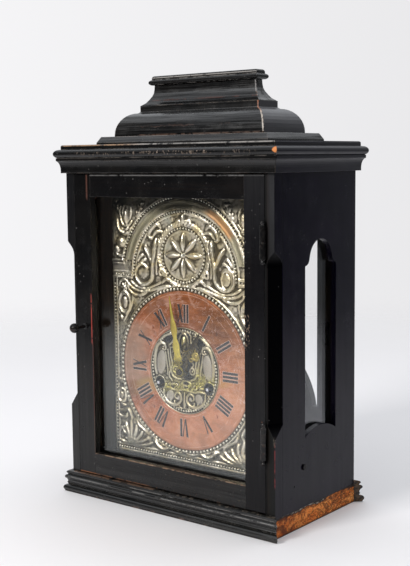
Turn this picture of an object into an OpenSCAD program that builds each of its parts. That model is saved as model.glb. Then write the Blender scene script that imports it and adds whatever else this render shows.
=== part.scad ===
// Religieuse bracket clock: ebonised case, glazed front door, repousse dial,
// two-train movement. X to the right seen from the front, Y to the back, Z up.
// Origin: middle of the underside. Front of the case at y = -case_d/2.

/* [Case] */
// Width of the wooden case
case_w = 300; // [296:1:330]
// Depth of the wooden case
case_d = 164; // [164:1:180]
// Height of the underside of the cornice
case_h = 389; // [389:1:410]
// Thickness of the base board
plinth_h = 22; // [18:1:24]
// Thickness of the side panels
panel_t = 12; // [12:0.5:14]
// Thickness of the top board
top_t = 12; // [8:1:14]
// Height of the base moulding
base_h = 25.7; // [25:0.1:26]

/* [Cornice and roof] */
// Height of the cornice
cornice_h = 33; // [33:1:40]
// How far the cornice nose stands out from the case
cornice_out = 11; // [9:0.5:13]
// Half depth of the stepped board at its foot
step_hd = 56; // [54:1:60]
// Half depth of the ovolo at its foot
ovolo_hd = 40.5; // [38:0.5:44]
// Half depth of the upper tier at its foot
cavetto_hd = 18.2; // [17:0.1:20]
// Half depth of the cap at its nose
cap_hd = 11.3; // [10:0.1:13]

/* [Front door] */
// Thickness of the door
door_t = 16; // [15:0.5:17]
// Width of the door's stiles and rails
door_frame_w = 26; // [22:1:28]
// Gap between the door and the case
door_gap = 0.6; // [0.4:0.1:1]
// Thickness of all the glass
glass_t = 2; // [1.5:0.5:3]
// Radius of the hinge barrels
hinge_r = 3.4; // [3.2:0.1:3.6]
// Length of each hinge barrel
hinge_len = 47; // [40:1:52]
// Radius of the hinge pins and pivot pins
pin_r = 1.5; // [1.2:0.1:1.8]

/* [Side windows] */
// Width of a side window
win_w = 63.5; // [56:0.5:66]
// Height of the sill corners
win_z0 = 99; // [90:1:110]
// Height of the shoulders
win_z1 = 288; // [270:1:292]
// Radius of the arched head
win_r = 23; // [20:1:24]

/* [Dial] */
// Height of the centre of the chapter ring
dial_z = 160.5; // [158:0.5:163]
// Half width of the dial plate
dial_hw = 109.4; // [105:0.2:112]
// Outer radius of the chapter ring
ring_ro = 93; // [90:1:94]
// Inner radius of the chapter ring
ring_ri = 51; // [49:1:53]
// Sideways distance of the winding holes from the centre
wind_x = 36.3; // [36.3:0.1:37]
// Height of the winding holes
wind_z = 143.3; // [142:0.1:144]
// Radius of the winding holes
wind_r = 5.5; // [4:0.5:6]
// Angle of the minute hand, clockwise from XII
minute_at = -9.5; // [-180:0.1:180]
// Angle of the hour hand, clockwise from XII
hour_at = 30; // [0:1:360]

/* [Movement] */
// Distance between the movement plates
plate_gap = 42.5; // [42.5:0.5:44]
// Thickness of the movement plates
plate_t = 2.5; // [2:0.1:3]
// Radius of the spring barrels
barrel_r = 24; // [20:0.5:24.5]
// Radius of the pendulum bob
bob_r = 22; // [16:1:26]
// Running clearance around every shaft
run = 0.05; // [0.03:0.01:0.08]

/* [Hidden] */
$fn = 48;

hw = case_w/2;
hd = case_d/2;
yf = -hd;                 // front plane of the case
kk = hw - hd;             // mitres run along |x| = |y| + kk
xin = hw - panel_t;       // inner faces of the side panels
zr = case_h + cornice_h;  // underside of the roof
eps = 0.01;

// door
dx0 = -xin + door_gap;
dx1 = xin - door_gap;
dz0 = base_h + 0.9;
dz1 = case_h - 1.6;
dyb = yf + door_t;
lap = 5;                  // glass overlap behind the frame
gy = yf + 8;              // front face of the door glass
hz = [[80, 80 + hinge_len], [293.5, 293.5 + hinge_len]];
hx = xin - 0.3;           // hinge axis
hy = yf - hinge_r - 0.2;
knob_x = dx0 + 13.7;
knob_z = 206.5;

// back door
bt = 10;
byi = hd - bt;            // inner face
bpx = -xin + 6;           // pivot axis
bpy = hd - bt/2;
bz0 = base_h + 0.7;
bz1 = case_h - 1;
blx = 118;
blz = 209;

// dial stack, front to back
y_plate = yf + 35.5;      // front of the sheet
y_ring = y_plate - 2.9;
y_board = y_plate + 1.2;
y_bback = y_board + 4;
y_fp = y_bback + 8.3;     // front plate, front face
y_fpb = y_fp + plate_t;
y_bp = y_fpb + plate_gap;
y_bpb = y_bp + plate_t;

// trains: centre distances and modules
c1 = sqrt(pow(wind_x, 2) + pow(dial_z - wind_z, 2));
m1 = 2*c1/(84 + 12);
phi_g = atan2(dial_z - wind_z, wind_x);    // going barrel towards the centre
c2 = 24.8;
m2 = 2*c2/(72 + 8);
c3 = 19.8;
m3 = 2*c3/(64 + 8);
third_z = dial_z + c2;
esc_z = third_z + c3;
anc_z = esc_z + 17.5;
cm = 18;
mm1 = 2*cm/(12 + 36);
mm2 = 2*cm/(10 + 40);
mw_z = dial_z + cm;
phi_s = 75;
pw_x = wind_x + c1*cos(phi_s);
pw_z = wind_z + c1*sin(phi_s);
ham_x = 50;
ham_z = 205;
bell_y = y_bpb + 12;
bell_r = 28;
bell_z = 258;
pen_y = y_bpb + 16;
// planes of the train between the plates, measured from the front plate's back
p_g1 = y_fpb + 3.5;
p_dr = y_fpb + 6.5;
p_dr2 = y_fpb + 32;
p_cw = y_fpb + 34;
p_sg = y_fpb + 37.5;
p_tw = y_fpb + 18.5;
p_ew = y_fpb + 38.5;

// ---------- helpers ----------
// prism along X, points are [y, z]
module run_x(pts, x0, x1) { translate([x0, 0, 0]) rotate([90, 0, 90]) linear_extrude(x1 - x0) polygon(pts); }
// prism along Y, points are [x, z]
module run_y(pts, y0, y1) { translate([0, y1, 0]) rotate([90, 0, 0]) linear_extrude(y1 - y0) polygon(pts); }
// 2D shape drawn in x, z and given thickness from y0 to y1
module slab_y(y0, y1) { translate([0, y1, 0]) rotate([90, 0, 0]) linear_extrude(y1 - y0) children(); }
// 2D shape drawn in y, z and given thickness from x0 to x1
module slab_x(x0, x1) { translate([x0, 0, 0]) rotate([90, 0, 90]) linear_extrude(x1 - x0) children(); }
module rod_y(x, z, r, y0, y1) { translate([x, y1, z]) rotate([90, 0, 0]) cylinder(r = r, h = y1 - y0); }
module rod_x(y, z, r, x0, x1) { translate([x0, y, z]) rotate([0, 90, 0]) cylinder(r = r, h = x1 - x0); }
module rod_z(x, y, r, z0, z1) { translate([x, y, z0]) cylinder(r = r, h = z1 - z0); }
module box(a, b) { translate(a) cube([b[0]-a[0], b[1]-a[1], b[2]-a[2]]); }
function sym(p, k) = concat([for (q = p) [q[0] + k, q[1]]], [for (i = [len(p)-1:-1:0]) [-p[i][0] - k, p[i][1]]]);
// rectangular block with mitred mouldings, profile is [half depth, z]
module block(p) { intersection() { run_x(sym(p, 0), -260, 260); run_y(sym(p, kk), -200, 200); } }
module sector(s) {
  r = 160;
  pts = s == "front" ? [[-kk, 0], [kk, 0], [kk + r, -r], [-kk - r, -r]]
      : s == "back" ? [[-kk, 0], [kk, 0], [kk + r, r], [-kk - r, r]]
      : s == "right" ? [[kk, 0], [kk + r, -r], [kk + r, r]]
      : [[-kk, 0], [-kk - r, -r], [-kk - r, r]];
  linear_extrude(560) polygon(pts);
}
function arc(cx, cy, rx, ry, a0, a1, n) = [for (i = [0:n]) let (a = a0 + (a1 - a0)*i/n) [cx + rx*cos(a), cy + ry*sin(a)]];

// toothed wheel: n teeth, module m, phase a0, wheel (w) or leaf pinion
function tooth(n, m, a0, i, pin) = let (
    rp = n*m/2, ad = pin ? 0.55*m : 0.9*m, rr = rp - (pin ? 1.45*m : 1.25*m),
    h = 180/n*(pin ? 0.40 : 0.43), c = a0 + 360*i/n,
    q = [[rr, -h], [rp, -h], [rp + ad*0.55, -h*0.72], [rp + ad, -h*0.25],
         [rp + ad, h*0.25], [rp + ad*0.55, h*0.72], [rp, h], [rr, h]])
  [for (v = q) [v[0]*cos(c + v[1]), v[0]*sin(c + v[1])]];
module toothed(n, m, a0, pin = false) polygon([for (i = [0:n-1], v = tooth(n, m, a0, i, pin)) v]);
function fr(x) = x - floor(x);
// phase of wheel b so that it meshes with wheel a, lying in direction phi from a
function mate(na, a0, phi, nb) = phi + 180 - (0.5 - fr((phi - a0)*na/360))*360/nb;
module crossed(ro, ri, hub, n) {
  difference() {
    circle(r = ri);
    circle(r = hub);
    for (i = [0:n-1]) rotate(i*360/n + 45) translate([0, -1.6]) square([ri + 1, 3.2]);
  }
}

cg = 0;                                   // centre pinion phase
a_gw = mate(12, cg, phi_g + 180, 84);     // going great wheel
a_cw = 0;
a_tp = mate(72, a_cw, 90, 8);             // third pinion
a_tw = 0;
a_ep = mate(64, a_tw, 90, 8);             // escape pinion
a_mw = mate(12, 0, 90, 36);               // minute wheel on the cannon pinion
a_hw = mate(10, 0, 270, 40);              // hour wheel on the minute pinion
a_pp = mate(84, 0, phi_s, 12);            // pin wheel pinion

ebony = [0.07, 0.07, 0.075];
rawwood = [0.55, 0.30, 0.14];
oak = [0.20, 0.14, 0.09];
silver = [0.62, 0.61, 0.56];
copper = [0.60, 0.30, 0.20];
brassc = [0.76, 0.60, 0.30];
steel = [0.42, 0.42, 0.44];
ironc = [0.13, 0.13, 0.13];
glassc = [0.80, 0.86, 0.86, 0.35];

// ---------- case ----------
module plinth_board() color(rawwood) difference() {
  box([-hw, -hd, 0], [hw, hd, plinth_h]);
  rod_z(bpx, bpy, pin_r + run, plinth_h - 10, plinth_h + 1);
}

base_prof = concat([[hd - 6, 0], [hd + 7.9, 0]],
  arc(hd + 4.3, 4.1, 4.8, 4.1, -50, 90, 7),
  arc(hd + 8.2, 12.4, 3.4, 3.4, 220, 140, 4),
  arc(hd + 4.9, 17.7, 2.7, 2.6, -70, 90, 6),
  [[hd + 4.6, 20.8]], arc(hd + 4.0, 23.2, 2.0, 1.9, -70, 80, 5),
  [[hd + 3, base_h], [hd - 6, base_h]]);
module base_run(s) intersection() {
  difference() { block(base_prof); box([-hw, -hd, -1], [hw, hd, 60]); }
  sector(s);
}
module base_moulding_front() color(ebony) base_run("front");
module base_moulding_left() color(ebony) base_run("left");
module base_moulding_back() color(ebony) base_run("back");

wy = 8.3;                 // window centre
module win2d() translate([wy, 0]) {
  difference() {
    translate([-win_w/2, win_z0]) square([win_w, win_z1 - win_z0 + 8.75]);
    for (s = [-1, 1]) translate([s*win_w/2, win_z1 + 8.75]) circle(r = 8.75);
    translate([0, win_z0 + 9 - 60.5]) circle(r = 60.5, $fn = 160);
  }
  translate([0, win_z1 + 5]) circle(r = win_r);
}
ch_a = 10;                // chamfer on the front face
ch_b = 15.5;              // chamfer on the side face
ch_l = sqrt(ch_a*ch_a + ch_b*ch_b);
ch_d = ch_a*ch_b/ch_l;
module chamfer_cut() translate([hw - ch_a, yf, 0]) rotate([0, 0, atan2(ch_b, ch_a)])
  translate([-30, 0, 0]) rotate([90, 0, 90]) linear_extrude(90)
  polygon([[0, 123], [0, 292], [-0.5, 295], [-1.6, 298.5], [-3.4, 301.5], [-5.4, 304], [-7.4, 306.5],
           [-ch_d, 308], [-40, 308], [-40, 108], [-ch_d, 108]]);
module side_panel(right) difference() {
  box([xin, -hd, plinth_h], [hw, hd, case_h]);
  slab_x(xin - 1, hw + 1) win2d();
  box([xin - 1, wy - 38, win_z0 - 6], [hw - 7, wy + 38, 322]);
  chamfer_cut();
  if (right) {
    for (h = hz) box([hx + 0.6, yf - 1, h[0] + 2], [hx + 1.6, yf + 14, h[0] + hinge_len/2 - 3]);
    box([xin - 1, byi - 3.2, blz - 20], [xin + 5.5, byi + 0.2, blz + 6]);
    rod_x(-26.2, 67, 1.2, hw - 6, hw + 1);
    rod_x(-45.1, 49.2, 0.9, hw - 4, hw + 1);
  } else {
    box([xin - 1, dyb, knob_z - 24], [xin + 6.5, dyb + 4, knob_z + 5]);
  }
}
module side_panel_left() color(ebony) mirror([1, 0, 0]) side_panel(false);
module side_panel_right() color(ebony) side_panel(true);
module pane() box([hw - 7 - glass_t, wy - 37.7, win_z0 - 5.7], [hw - 7, wy + 37.7, 321.7]);
module side_glass_left() color(glassc) mirror([1, 0, 0]) pane();
module side_glass_right() color(glassc) pane();

module carcass_top() color(oak) box([-xin, dyb + 1, case_h - top_t], [xin, byi - 0.6, case_h]);

corn_prof = concat([[hd - 34, case_h], [hd + 4.6, case_h], [hd + 4.6, case_h + 3]],
  arc(hd + 8.7, case_h + 3, 4.1, 11.2, 180, 102, 6),
  [[hd + 8.6, case_h + 14.4], [hd + 8.6, case_h + 17.6]],
  arc(hd + cornice_out - 5.4, case_h + 22.6, 5.4, 5, -70, 90, 8),
  [[hd + 4.2, case_h + 27.9], [hd + 4.2, case_h + 31.6], [hd + 3.4, case_h + 32.8], [hd + 2.4, zr], [hd - 34, zr]]);
module corn_run(s) intersection() {
  difference() { block(corn_prof); box([-hw + 34, -hd + 34, case_h - 5], [hw - 34, hd - 34, zr + 5]); }
  sector(s);
}
module cornice_front() color(ebony) corn_run("front");
module cornice_back() color(ebony) difference() { corn_run("back"); rod_z(bpx, bpy, pin_r + run, case_h - 1, case_h + 8); }
module cornice_left() color(ebony) corn_run("left");
module cornice_right() color(ebony) corn_run("right");

z1 = zr + 9.4;            // top of the stepped board
module roof_step_board() color(ebony) block([[step_hd, zr], [step_hd, zr + 2.5], [step_hd - 4, z1]]);
z2 = z1 + 29.1;           // foot of the fillet
z3 = z2 + 7.1;            // top of the fillet
ov_prof = concat([[16, z1], [ovolo_hd, z1], [ovolo_hd, z1 + 1.6]],
  arc(cavetto_hd + 2.2, z1 + 1.6, ovolo_hd - cavetto_hd - 2.2, 26, 0, 90, 9),
  [[cavetto_hd + 0.2, z2], [cavetto_hd + 0.2, z3], [16, z3]]);
module ovolo_run(s) intersection() {
  difference() { block(ov_prof); box([-kk - 15.9, -15.9, z1 - 1], [kk + 15.9, 15.9, z3 + 1]); }
  sector(s);
}
module ovolo_front() color(ebony) ovolo_run("front");
module ovolo_back() color(ebony) ovolo_run("back");
module ovolo_left() color(ebony) ovolo_run("left");
module ovolo_right() color(ebony) ovolo_run("right");
z4 = z3 + 24.1;           // underside of the cap
cav_w = cavetto_hd - 6;
module roof_cavetto() color(ebony) block(concat([[cavetto_hd, z3]],
  [for (q = [[0.62, 0.14], [0.40, 0.29], [0.19, 0.46], [0.07, 0.61], [0.02, 0.80], [0, 1]]) [6 + cav_w*q[0], z3 + 24.1*q[1]]]));
module roof_cap() color(ebony) block(concat([[cap_hd - 2.8, z4]],
  arc(cap_hd - 2.6, z4 + 3.2, 2.6, 2.8, -60, 80, 6),
  [[cap_hd - 3, z4 + 6.6], [cap_hd - 3, z4 + 8.6], [cap_hd - 3.7, z4 + 10.2], [cap_hd - 4.8, z4 + 10.9]]));

// ---------- hinges of the front door ----------
module barrel_half(up) {
  l = hinge_len/2;
  pts = concat([[0, 0], [hinge_r, 0], [hinge_r, l - 6], [hinge_r - 0.5, l - 5.4], [hinge_r - 1.3, l - 4.8]],
    arc(0, l - 2.6, hinge_r - 0.7, 2.4, -30, 90, 6));
  mirror([0, 0, up ? 0 : 1]) rotate_extrude() polygon(pts);
}
module hinge_posts() color(ironc) for (h = hz) {
  zm = (h[0] + h[1])/2;
  translate([hx, hy, zm]) barrel_half(false);
  rod_z(hx, hy, pin_r, zm - 1, zm + 15);
  box([hx + 0.6, hy, h[0] + 2], [hx + 1.6, yf + 14, zm - 3]);
}
module hinge_knuckles() color(ironc) for (h = hz) {
  zm = (h[0] + h[1])/2;
  difference() {
    union() {
      translate([hx, hy, zm + 0.1]) barrel_half(true);
      box([hx - 1.9, hy, zm + 3], [hx - 0.9, yf + 14, h[1] - 8]);
    }
    rod_z(hx, hy, pin_r + run, zm - 1, zm + 15.5);
  }
}
module side_screw() color(ironc) { rod_x(-26.2, 67, 3.2, hw, hw + 1.6); rod_x(-26.2, 67, 1.2, hw - 6, hw + 0.5); }

// ---------- dial ----------
module dial_holes(rc, rw) {
  rod_y(0, dial_z, rc, -hd, 0);
  for (s = [-1, 1]) rod_y(s*wind_x, wind_z, rw, -hd, 0);
}
module feet_holes(r) for (a = [-1, 1], b = [-1, 1]) rod_y(a*47, dial_z + b*47.4, r, -hd, 40);
module dial_board() color(oak) difference() {
  box([-xin + 0.2, y_board, 51], [xin - 0.2, y_bback, 365]);
  dial_holes(8, wind_r + 1.5);
  feet_holes(pin_r);
}
module dial_rails() color(oak) for (z = [56, 350]) box([-xin, y_bback, z], [xin, y_bback + 12, z + 13]);
module ring_y(z, ro, ri, y0, y1) difference() { rod_y(0, z, ro, y0, y1); rod_y(0, z, ri, y0 - 1, y1 + 1); }
module dial_plate() color(silver) difference() {
  union() {
    box([-dial_hw, y_plate, 50.4], [dial_hw, y_board, 366]);
    // arched bands and the rosette in relief
    intersection() {
      union() {
        ring_y(269.3, 94, 91, y_plate - 1.8, y_board);
        ring_y(269.3, 77, 74, y_plate - 1.8, y_board);
      }
      box([-dial_hw, -hd, 262], [dial_hw, 0, 364]);
    }
    rod_y(0, 294.5, 29.5, y_plate - 1.6, y_board);
    rod_y(0, 294.5, 5, y_plate - 4.6, y_board);
    for (i = [0:7]) translate([0, y_plate - 3.2, 294.5]) rotate([0, i*45 + 22.5, 0])
      run_y([[0, 5], [3.6, 13], [0, 25], [-3.6, 13]], 0, 3);
    // raised bead around the chapter ring and along the edges
    ring_y(dial_z, ring_ro + 3, ring_ro + 0.1, y_plate - 2, y_board);
    for (s = [-1, 1]) {
      translate([s*(dial_hw - 3.5), 0, 0]) box([-1.5, y_plate - 1.4, 54], [1.5, y_board, 362]);
      rod_y(s*90, 234, 10, y_plate - 2.4, y_board);
      rod_y(s*86, 78, 12, y_plate - 2.4, y_board);
      rod_y(s*60, 268, 11, y_plate - 2.4, y_board);
    }
    box([-dial_hw + 5, y_plate - 1.4, 54], [dial_hw - 5, y_board, 57]);
  }
  dial_holes(6, wind_r + 0.6);
  feet_holes(pin_r);
}
module chapter_ring() color(copper) difference() {
  union() {
    ring_y(dial_z, ring_ro, ring_ri, y_plate - 1.4, y_plate);
    ring_y(dial_z, ring_ro - 2, ring_ri + 2, y_plate - 2.1, y_plate);
  }
  feet_holes(pin_r);
}
module dial_centre() color(silver) difference() {
  union() {
    rod_y(0, dial_z, ring_ri - 0.1, y_plate - 1.2, y_plate);
    ring_y(dial_z, ring_ri - 0.2, ring_ri - 3, y_plate - 3, y_plate);
    for (s = [-1, 1]) rod_y(s*wind_x, wind_z, wind_r + 2, y_plate - 2.2, y_plate);
    for (i = [0:5]) rotate_at(i*60 + 30) rod_y(0, dial_z + 28, 8, y_plate - 2.8, y_plate);
  }
  dial_holes(6, wind_r);
}
module rotate_at(a) translate([0, 0, dial_z]) rotate([0, a, 0]) translate([0, 0, -dial_z]) children();
module dial_feet() color(brassc) for (a = [-1, 1], b = [-1, 1]) {
  rod_y(a*47, dial_z + b*47.4, 2.2, y_plate - 3.3, y_plate - 2.1);
  rod_y(a*47, dial_z + b*47.4, pin_r, y_plate - 2.6, y_fpb + 1.5);
}

// ---------- movement frame ----------
mz0 = 102; mz1 = 238; mx = 74;
module front_plate() color(brassc) {
  difference() {
    box([-mx, y_fp, mz0], [mx, y_fpb, mz1]);
    feet_holes(pin_r);
    for (a = [-1, 1], z = [mz0 + 9, mz1 - 9]) rod_y(a*(mx - 8), z, 2, y_fp - 1, y_fpb + 1);
    rod_y(0, dial_z, pin_r + run, y_fp - 1, y_fpb + 1);
    for (s = [-1, 1]) rod_y(s*wind_x, wind_z, 3 + run, y_fp - 1, y_fpb + 1);
    for (q = [[0, third_z], [0, esc_z], [0, anc_z], [pw_x, pw_z], [ham_x, ham_z]])
      rod_y(q[0], q[1], 1 + run, y_fp - 1, y_fpb + 1);
  }
  rod_y(0, mw_z, pin_r, y_bback + 0.2, y_fp);
}
module back_plate() color(brassc) difference() {
  box([-mx, y_bp, mz0], [mx, y_bpb, mz1]);
  for (a = [-1, 1], z = [mz0 + 9, mz1 - 9]) rod_y(a*(mx - 8), z, 2, y_bp - 1, y_bpb + 1);
  rod_y(0, dial_z, 1 + run, y_bp - 1, y_bpb + 1);
  for (s = [-1, 1]) rod_y(s*wind_x, wind_z, 3 + run, y_bp - 1, y_bpb + 1);
  for (q = [[0, third_z], [0, esc_z], [pw_x, pw_z]]) rod_y(q[0], q[1], 1 + run, y_bp - 1, y_bpb + 1);
  rod_y(ham_x, ham_z, 1.5 + run, y_bp - 1, y_bpb + 1);
  rod_y(0, anc_z, 4, y_bp - 1, y_bpb + 1);
}
module plate_pillars() color(brassc) for (a = [-1, 1], z = [mz0 + 9, mz1 - 9]) {
  rod_y(a*(mx - 8), z, 4, y_fpb, y_bp);
  rod_y(a*(mx - 8), z, 2, y_fp - 1.5, y_bpb + 1.5);
}
module bell() color(brassc) translate([0, bell_y, bell_z]) rotate_extrude($fn = 64)
  polygon(concat([[bell_r, 0]], arc(0, 2, bell_r, 28, 0, 86, 14), [[2, 30], [2, 27.5]],
    [for (i = [14:-1:0]) let (a = 86*i/14) [(bell_r - 2.2)*cos(a), 2 + 25.6*sin(a)]], [[bell_r - 2.2, 0]]));
module bell_stand() color(steel) {
  box([-43, y_bpb, 208], [-37, y_bpb + 3, bell_z + 39]);
  box([-43, y_bpb, bell_z + 36], [4, bell_y + 4, bell_z + 39]);
  rod_z(0, bell_y, 2, bell_z + 24, bell_z + 37);
  rod_z(0, bell_y, 3.5, bell_z + 30, bell_z + 32);
}
module pendulum_cock() color(brassc) difference() {
  union() {
    box([-14, y_bpb, anc_z + 6], [14, y_bpb + 10.5, anc_z + 12]);
    box([-7, y_bpb + 8, anc_z - 6], [7, y_bpb + 10.5, anc_z + 12]);
    rod_y(0, anc_z, pin_r, y_bpb + 10.4, y_bpb + 19);
  }
  rod_y(0, anc_z, 1 + run, y_bpb + 7, y_bpb + 10.3);
}

// ---------- front door ----------
module door_raw(x0, x1, z0, z1) difference() {
  box([x0, yf, z0], [x1, dyb, z1]);
  box([dx0 + door_frame_w - lap, gy, dz0 + door_frame_w - lap], [dx1 - door_frame_w + lap, dyb + 1, dz1 - door_frame_w + lap]);
}
module door_stile_left() color(ebony) difference() {
  door_raw(dx0, dx0 + door_frame_w, dz0, dz1);
  rod_y(knob_x, knob_z, 2 + run, yf - 1, dyb + 1);
}
module door_stile_right() color(ebony) difference() {
  door_raw(dx1 - door_frame_w, dx1, dz0, dz1);
  for (h = hz) box([hx - 1.9, yf - 1, (h[0] + h[1])/2 + 3], [hx - 0.9, yf + 14, h[1] - 8]);
}
module door_rail_top() color(ebony) door_raw(dx0 + door_frame_w, dx1 - door_frame_w, dz1 - door_frame_w, dz1);
module door_rail_bottom() color(ebony) door_raw(dx0 + door_frame_w, dx1 - door_frame_w, dz0, dz0 + door_frame_w);
module door_glass() color(glassc)
  box([dx0 + door_frame_w - lap + 0.3, gy, dz0 + door_frame_w - lap + 0.3],
      [dx1 - door_frame_w + lap - 0.3, gy + glass_t, dz1 - door_frame_w + lap - 0.3]);
module door_knob() color(ironc) {
  translate([knob_x, yf - 0.1, knob_z]) rotate([90, 0, 0]) rotate_extrude()
    polygon(concat([[0, 0], [3.6, 0], [3.6, 1.2], [2.2, 2.4], [1.9, 10], [2.6, 13.2]],
      arc(0, 19, 5.9, 5.2, -60, 90, 9)));
  rod_y(knob_x, knob_z, 2, yf - 1, dyb + 3.4);
  slab_y(dyb + 0.4, dyb + 3.2) translate([knob_x, knob_z]) {
    circle(r = 4.5);
    translate([-3.2, -18.3]) square([6.4, 18.3]);
  }
}

// ---------- back door ----------
module back_door() color(ebony) {
  difference() {
    union() {
      box([bpx, byi, bz0], [xin - door_gap, hd, bz1]);
      rod_z(bpx, bpy, bt/2, bz0, bz1);
    }
    slab_y(byi - 1, hd + 1) difference() {
      translate([-105.2, 110]) square([210.4, 242]);
      translate([0, 95.8]) circle(r = 99.2, $fn = 120);
    }
    rod_y(blx, blz, 2 + run, byi - 1, hd + 1);
  }
  rod_z(bpx, bpy, pin_r, plinth_h - 8, bz0 + 1);
  rod_z(bpx, bpy, pin_r, bz1 - 1, case_h + 6);
}
module back_latch() color(ironc) {
  rod_y(blx, blz, 2, byi - 2.6, hd + 2.2);
  slab_y(byi - 2.6, byi - 0.4) translate([blx, blz]) {
    circle(r = 4.5);
    translate([-9.5, -1.6]) square([9.5, 3.2]);
    translate([-3, -23.5]) square([6, 23.5]);
  }
  rod_y(blx, blz, 4, hd + 0.2, hd + 2.2);
}

// ---------- hands and motion work ----------
module minute_hand() color(brassc) rotate_at(minute_at) difference() {
  union() {
    rod_y(0, dial_z, 5.6, y_plate - 10, y_plate - 9.1);
    slab_y(y_plate - 10, y_plate - 9.1) translate([0, dial_z])
      polygon([[-3, 3.6], [-4.8, 9], [-5.6, 14], [-5.4, 18], [-4.6, 22], [-5.3, 30], [-2.9, 39.5], [-4.9, 49], [-4.2, 54], [-2.3, 64], [-1.1, 80], [0, 88.6],
             [1.1, 80], [2.3, 64], [4.2, 54], [4.9, 49], [2.9, 39.5], [5.3, 30], [4.6, 22], [5.4, 18], [5.6, 14], [4.8, 9], [3, 3.6]]);
  }
  rod_y(0, dial_z, 2.5, -hd, 0);
}
module hour_hand() color(brassc) rotate_at(hour_at) difference() {
  union() {
    rod_y(0, dial_z, 7.5, y_plate - 7, y_plate - 6.2);
    slab_y(y_plate - 7, y_plate - 6.2) translate([0, dial_z])
      polygon([[-2.6, 4.2], [-3.2, 10], [-2, 15], [-4.2, 22], [-4.6, 31], [-2.6, 35], [-4.2, 40], [-1.7, 47], [0, 55],
             [1.7, 47], [4.2, 40], [2.6, 35], [4.6, 31], [4.2, 22], [2, 15], [3.2, 10], [2.6, 4.2]]);
    for (s = [-1, 1]) rod_y(s*8.6, dial_z + 27.4, 5.6, y_plate - 7, y_plate - 6.2);
  }
  rod_y(0, dial_z, 3.5, -hd, 0);
  for (s = [-1, 1]) rod_y(s*8.6, dial_z + 27.4, 3, -hd, 0);
  rod_y(0, dial_z + 27.4, 1.9, -hd, 0);
}
module cannon_pinion() color(brassc) difference() {
  union() {
    rod_y(0, dial_z, 2.5, y_plate - 10.6, y_fp - 0.3);
    slab_y(y_fp - 3.6, y_fp - 0.6) translate([0, dial_z]) toothed(12, mm1, 0, true);
    rod_y(0, dial_z, 3.4, y_plate - 11.8, y_plate - 10);
  }
  rod_y(0, dial_z, pin_r, -hd, 40);
}
module hour_wheel() color(brassc) difference() {
  union() {
    rod_y(0, dial_z, 3.5, y_plate - 7.4, y_fp - 5.2);
    slab_y(y_bback + 0.8, y_fp - 5.2) translate([0, dial_z]) toothed(40, mm2, a_hw);
  }
  rod_y(0, dial_z, 2.5 + run, -hd, 40);
}
module minute_wheel() color(brassc) difference() {
  union() {
    slab_y(y_fp - 3.2, y_fp - 1.2) translate([0, mw_z]) toothed(36, mm1, a_mw);
    slab_y(y_bback + 0.6, y_fp - 3.2) translate([0, mw_z]) toothed(10, mm2, 0, true);
  }
  rod_y(0, mw_z, pin_r + run, -hd, 40);
}
module centre_wheel() color(brassc) {
  rod_y(0, dial_z, pin_r, y_plate - 12.4, p_cw + 3);
  rod_y(0, dial_z, 1, p_cw + 3, y_bpb);
  slab_y(p_g1 - 1, p_g1 + 3) translate([0, dial_z]) toothed(12, m1, cg, true);
  slab_y(p_cw, p_cw + 2) translate([0, dial_z]) difference() {
    toothed(72, m2, a_cw);
    crossed(22, 19, 5, 4);
  }
  rod_y(0, dial_z, 5, p_cw - 0.6, p_cw + 2.4);
}

// ---------- going train ----------
module barrel_drum() difference() {
  rod_y(0, 0, barrel_r, p_dr, p_dr2);
  rod_y(0, 0, barrel_r - 1.6, p_dr + 1.6, p_dr2 - 1.6);
}
module going_barrel() color(brassc) translate([-wind_x, 0, wind_z]) difference() {
  union() {
    barrel_drum();
    slab_y(p_g1, p_g1 + 2.5) toothed(84, m1, a_gw);
    rod_y(0, 0, 9, p_g1 + 2, p_dr + 0.5);
  }
  rod_y(0, 0, 3 + run, -hd, hd);
}
module arbor_at(x) {
  rod_y(x, wind_z, 3, y_plate + 8, y_bpb + 0.5);
  box([x - 2.2, y_plate - 5, wind_z - 2.2], [x + 2.2, y_plate + 9, wind_z + 2.2]);
}
module going_arbor() color(steel) arbor_at(-wind_x);
module strike_arbor() color(steel) arbor_at(wind_x);
module pivoted(x, z, y0, y1, r) {
  rod_y(x, z, 1, y_fp + 0.5, y_bpb - 0.5);
  rod_y(x, z, r, y0, y1);
}
module third_wheel() color(brassc) {
  pivoted(0, third_z, y_fpb + 1, y_bp - 1, 1.6);
  slab_y(p_tw, p_tw + 1.6) translate([0, third_z]) difference() { toothed(64, m3, a_tw); crossed(16, 14.5, 4, 4); }
  slab_y(p_cw - 1, p_cw + 3) translate([0, third_z]) toothed(8, m2, a_tp, true);
}
module escape_wheel() color(brassc) {
  pivoted(0, esc_z, y_fpb + 1, y_bp - 1, 1.4);
  slab_y(p_tw - 1.2, p_tw + 2.8) translate([0, esc_z]) toothed(8, m3, a_ep, true);
  slab_y(p_ew, p_ew + 1.5) translate([0, esc_z]) difference() {
    polygon([for (i = [0:29], v = [[10.4, 0], [12.4, 7.6], [12.4, 8.6], [10.4, 9.6]]) [v[0]*cos(12*i + v[1]), v[0]*sin(12*i + v[1])]]);
    crossed(10, 8.8, 3, 4);
  }
}
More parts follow.
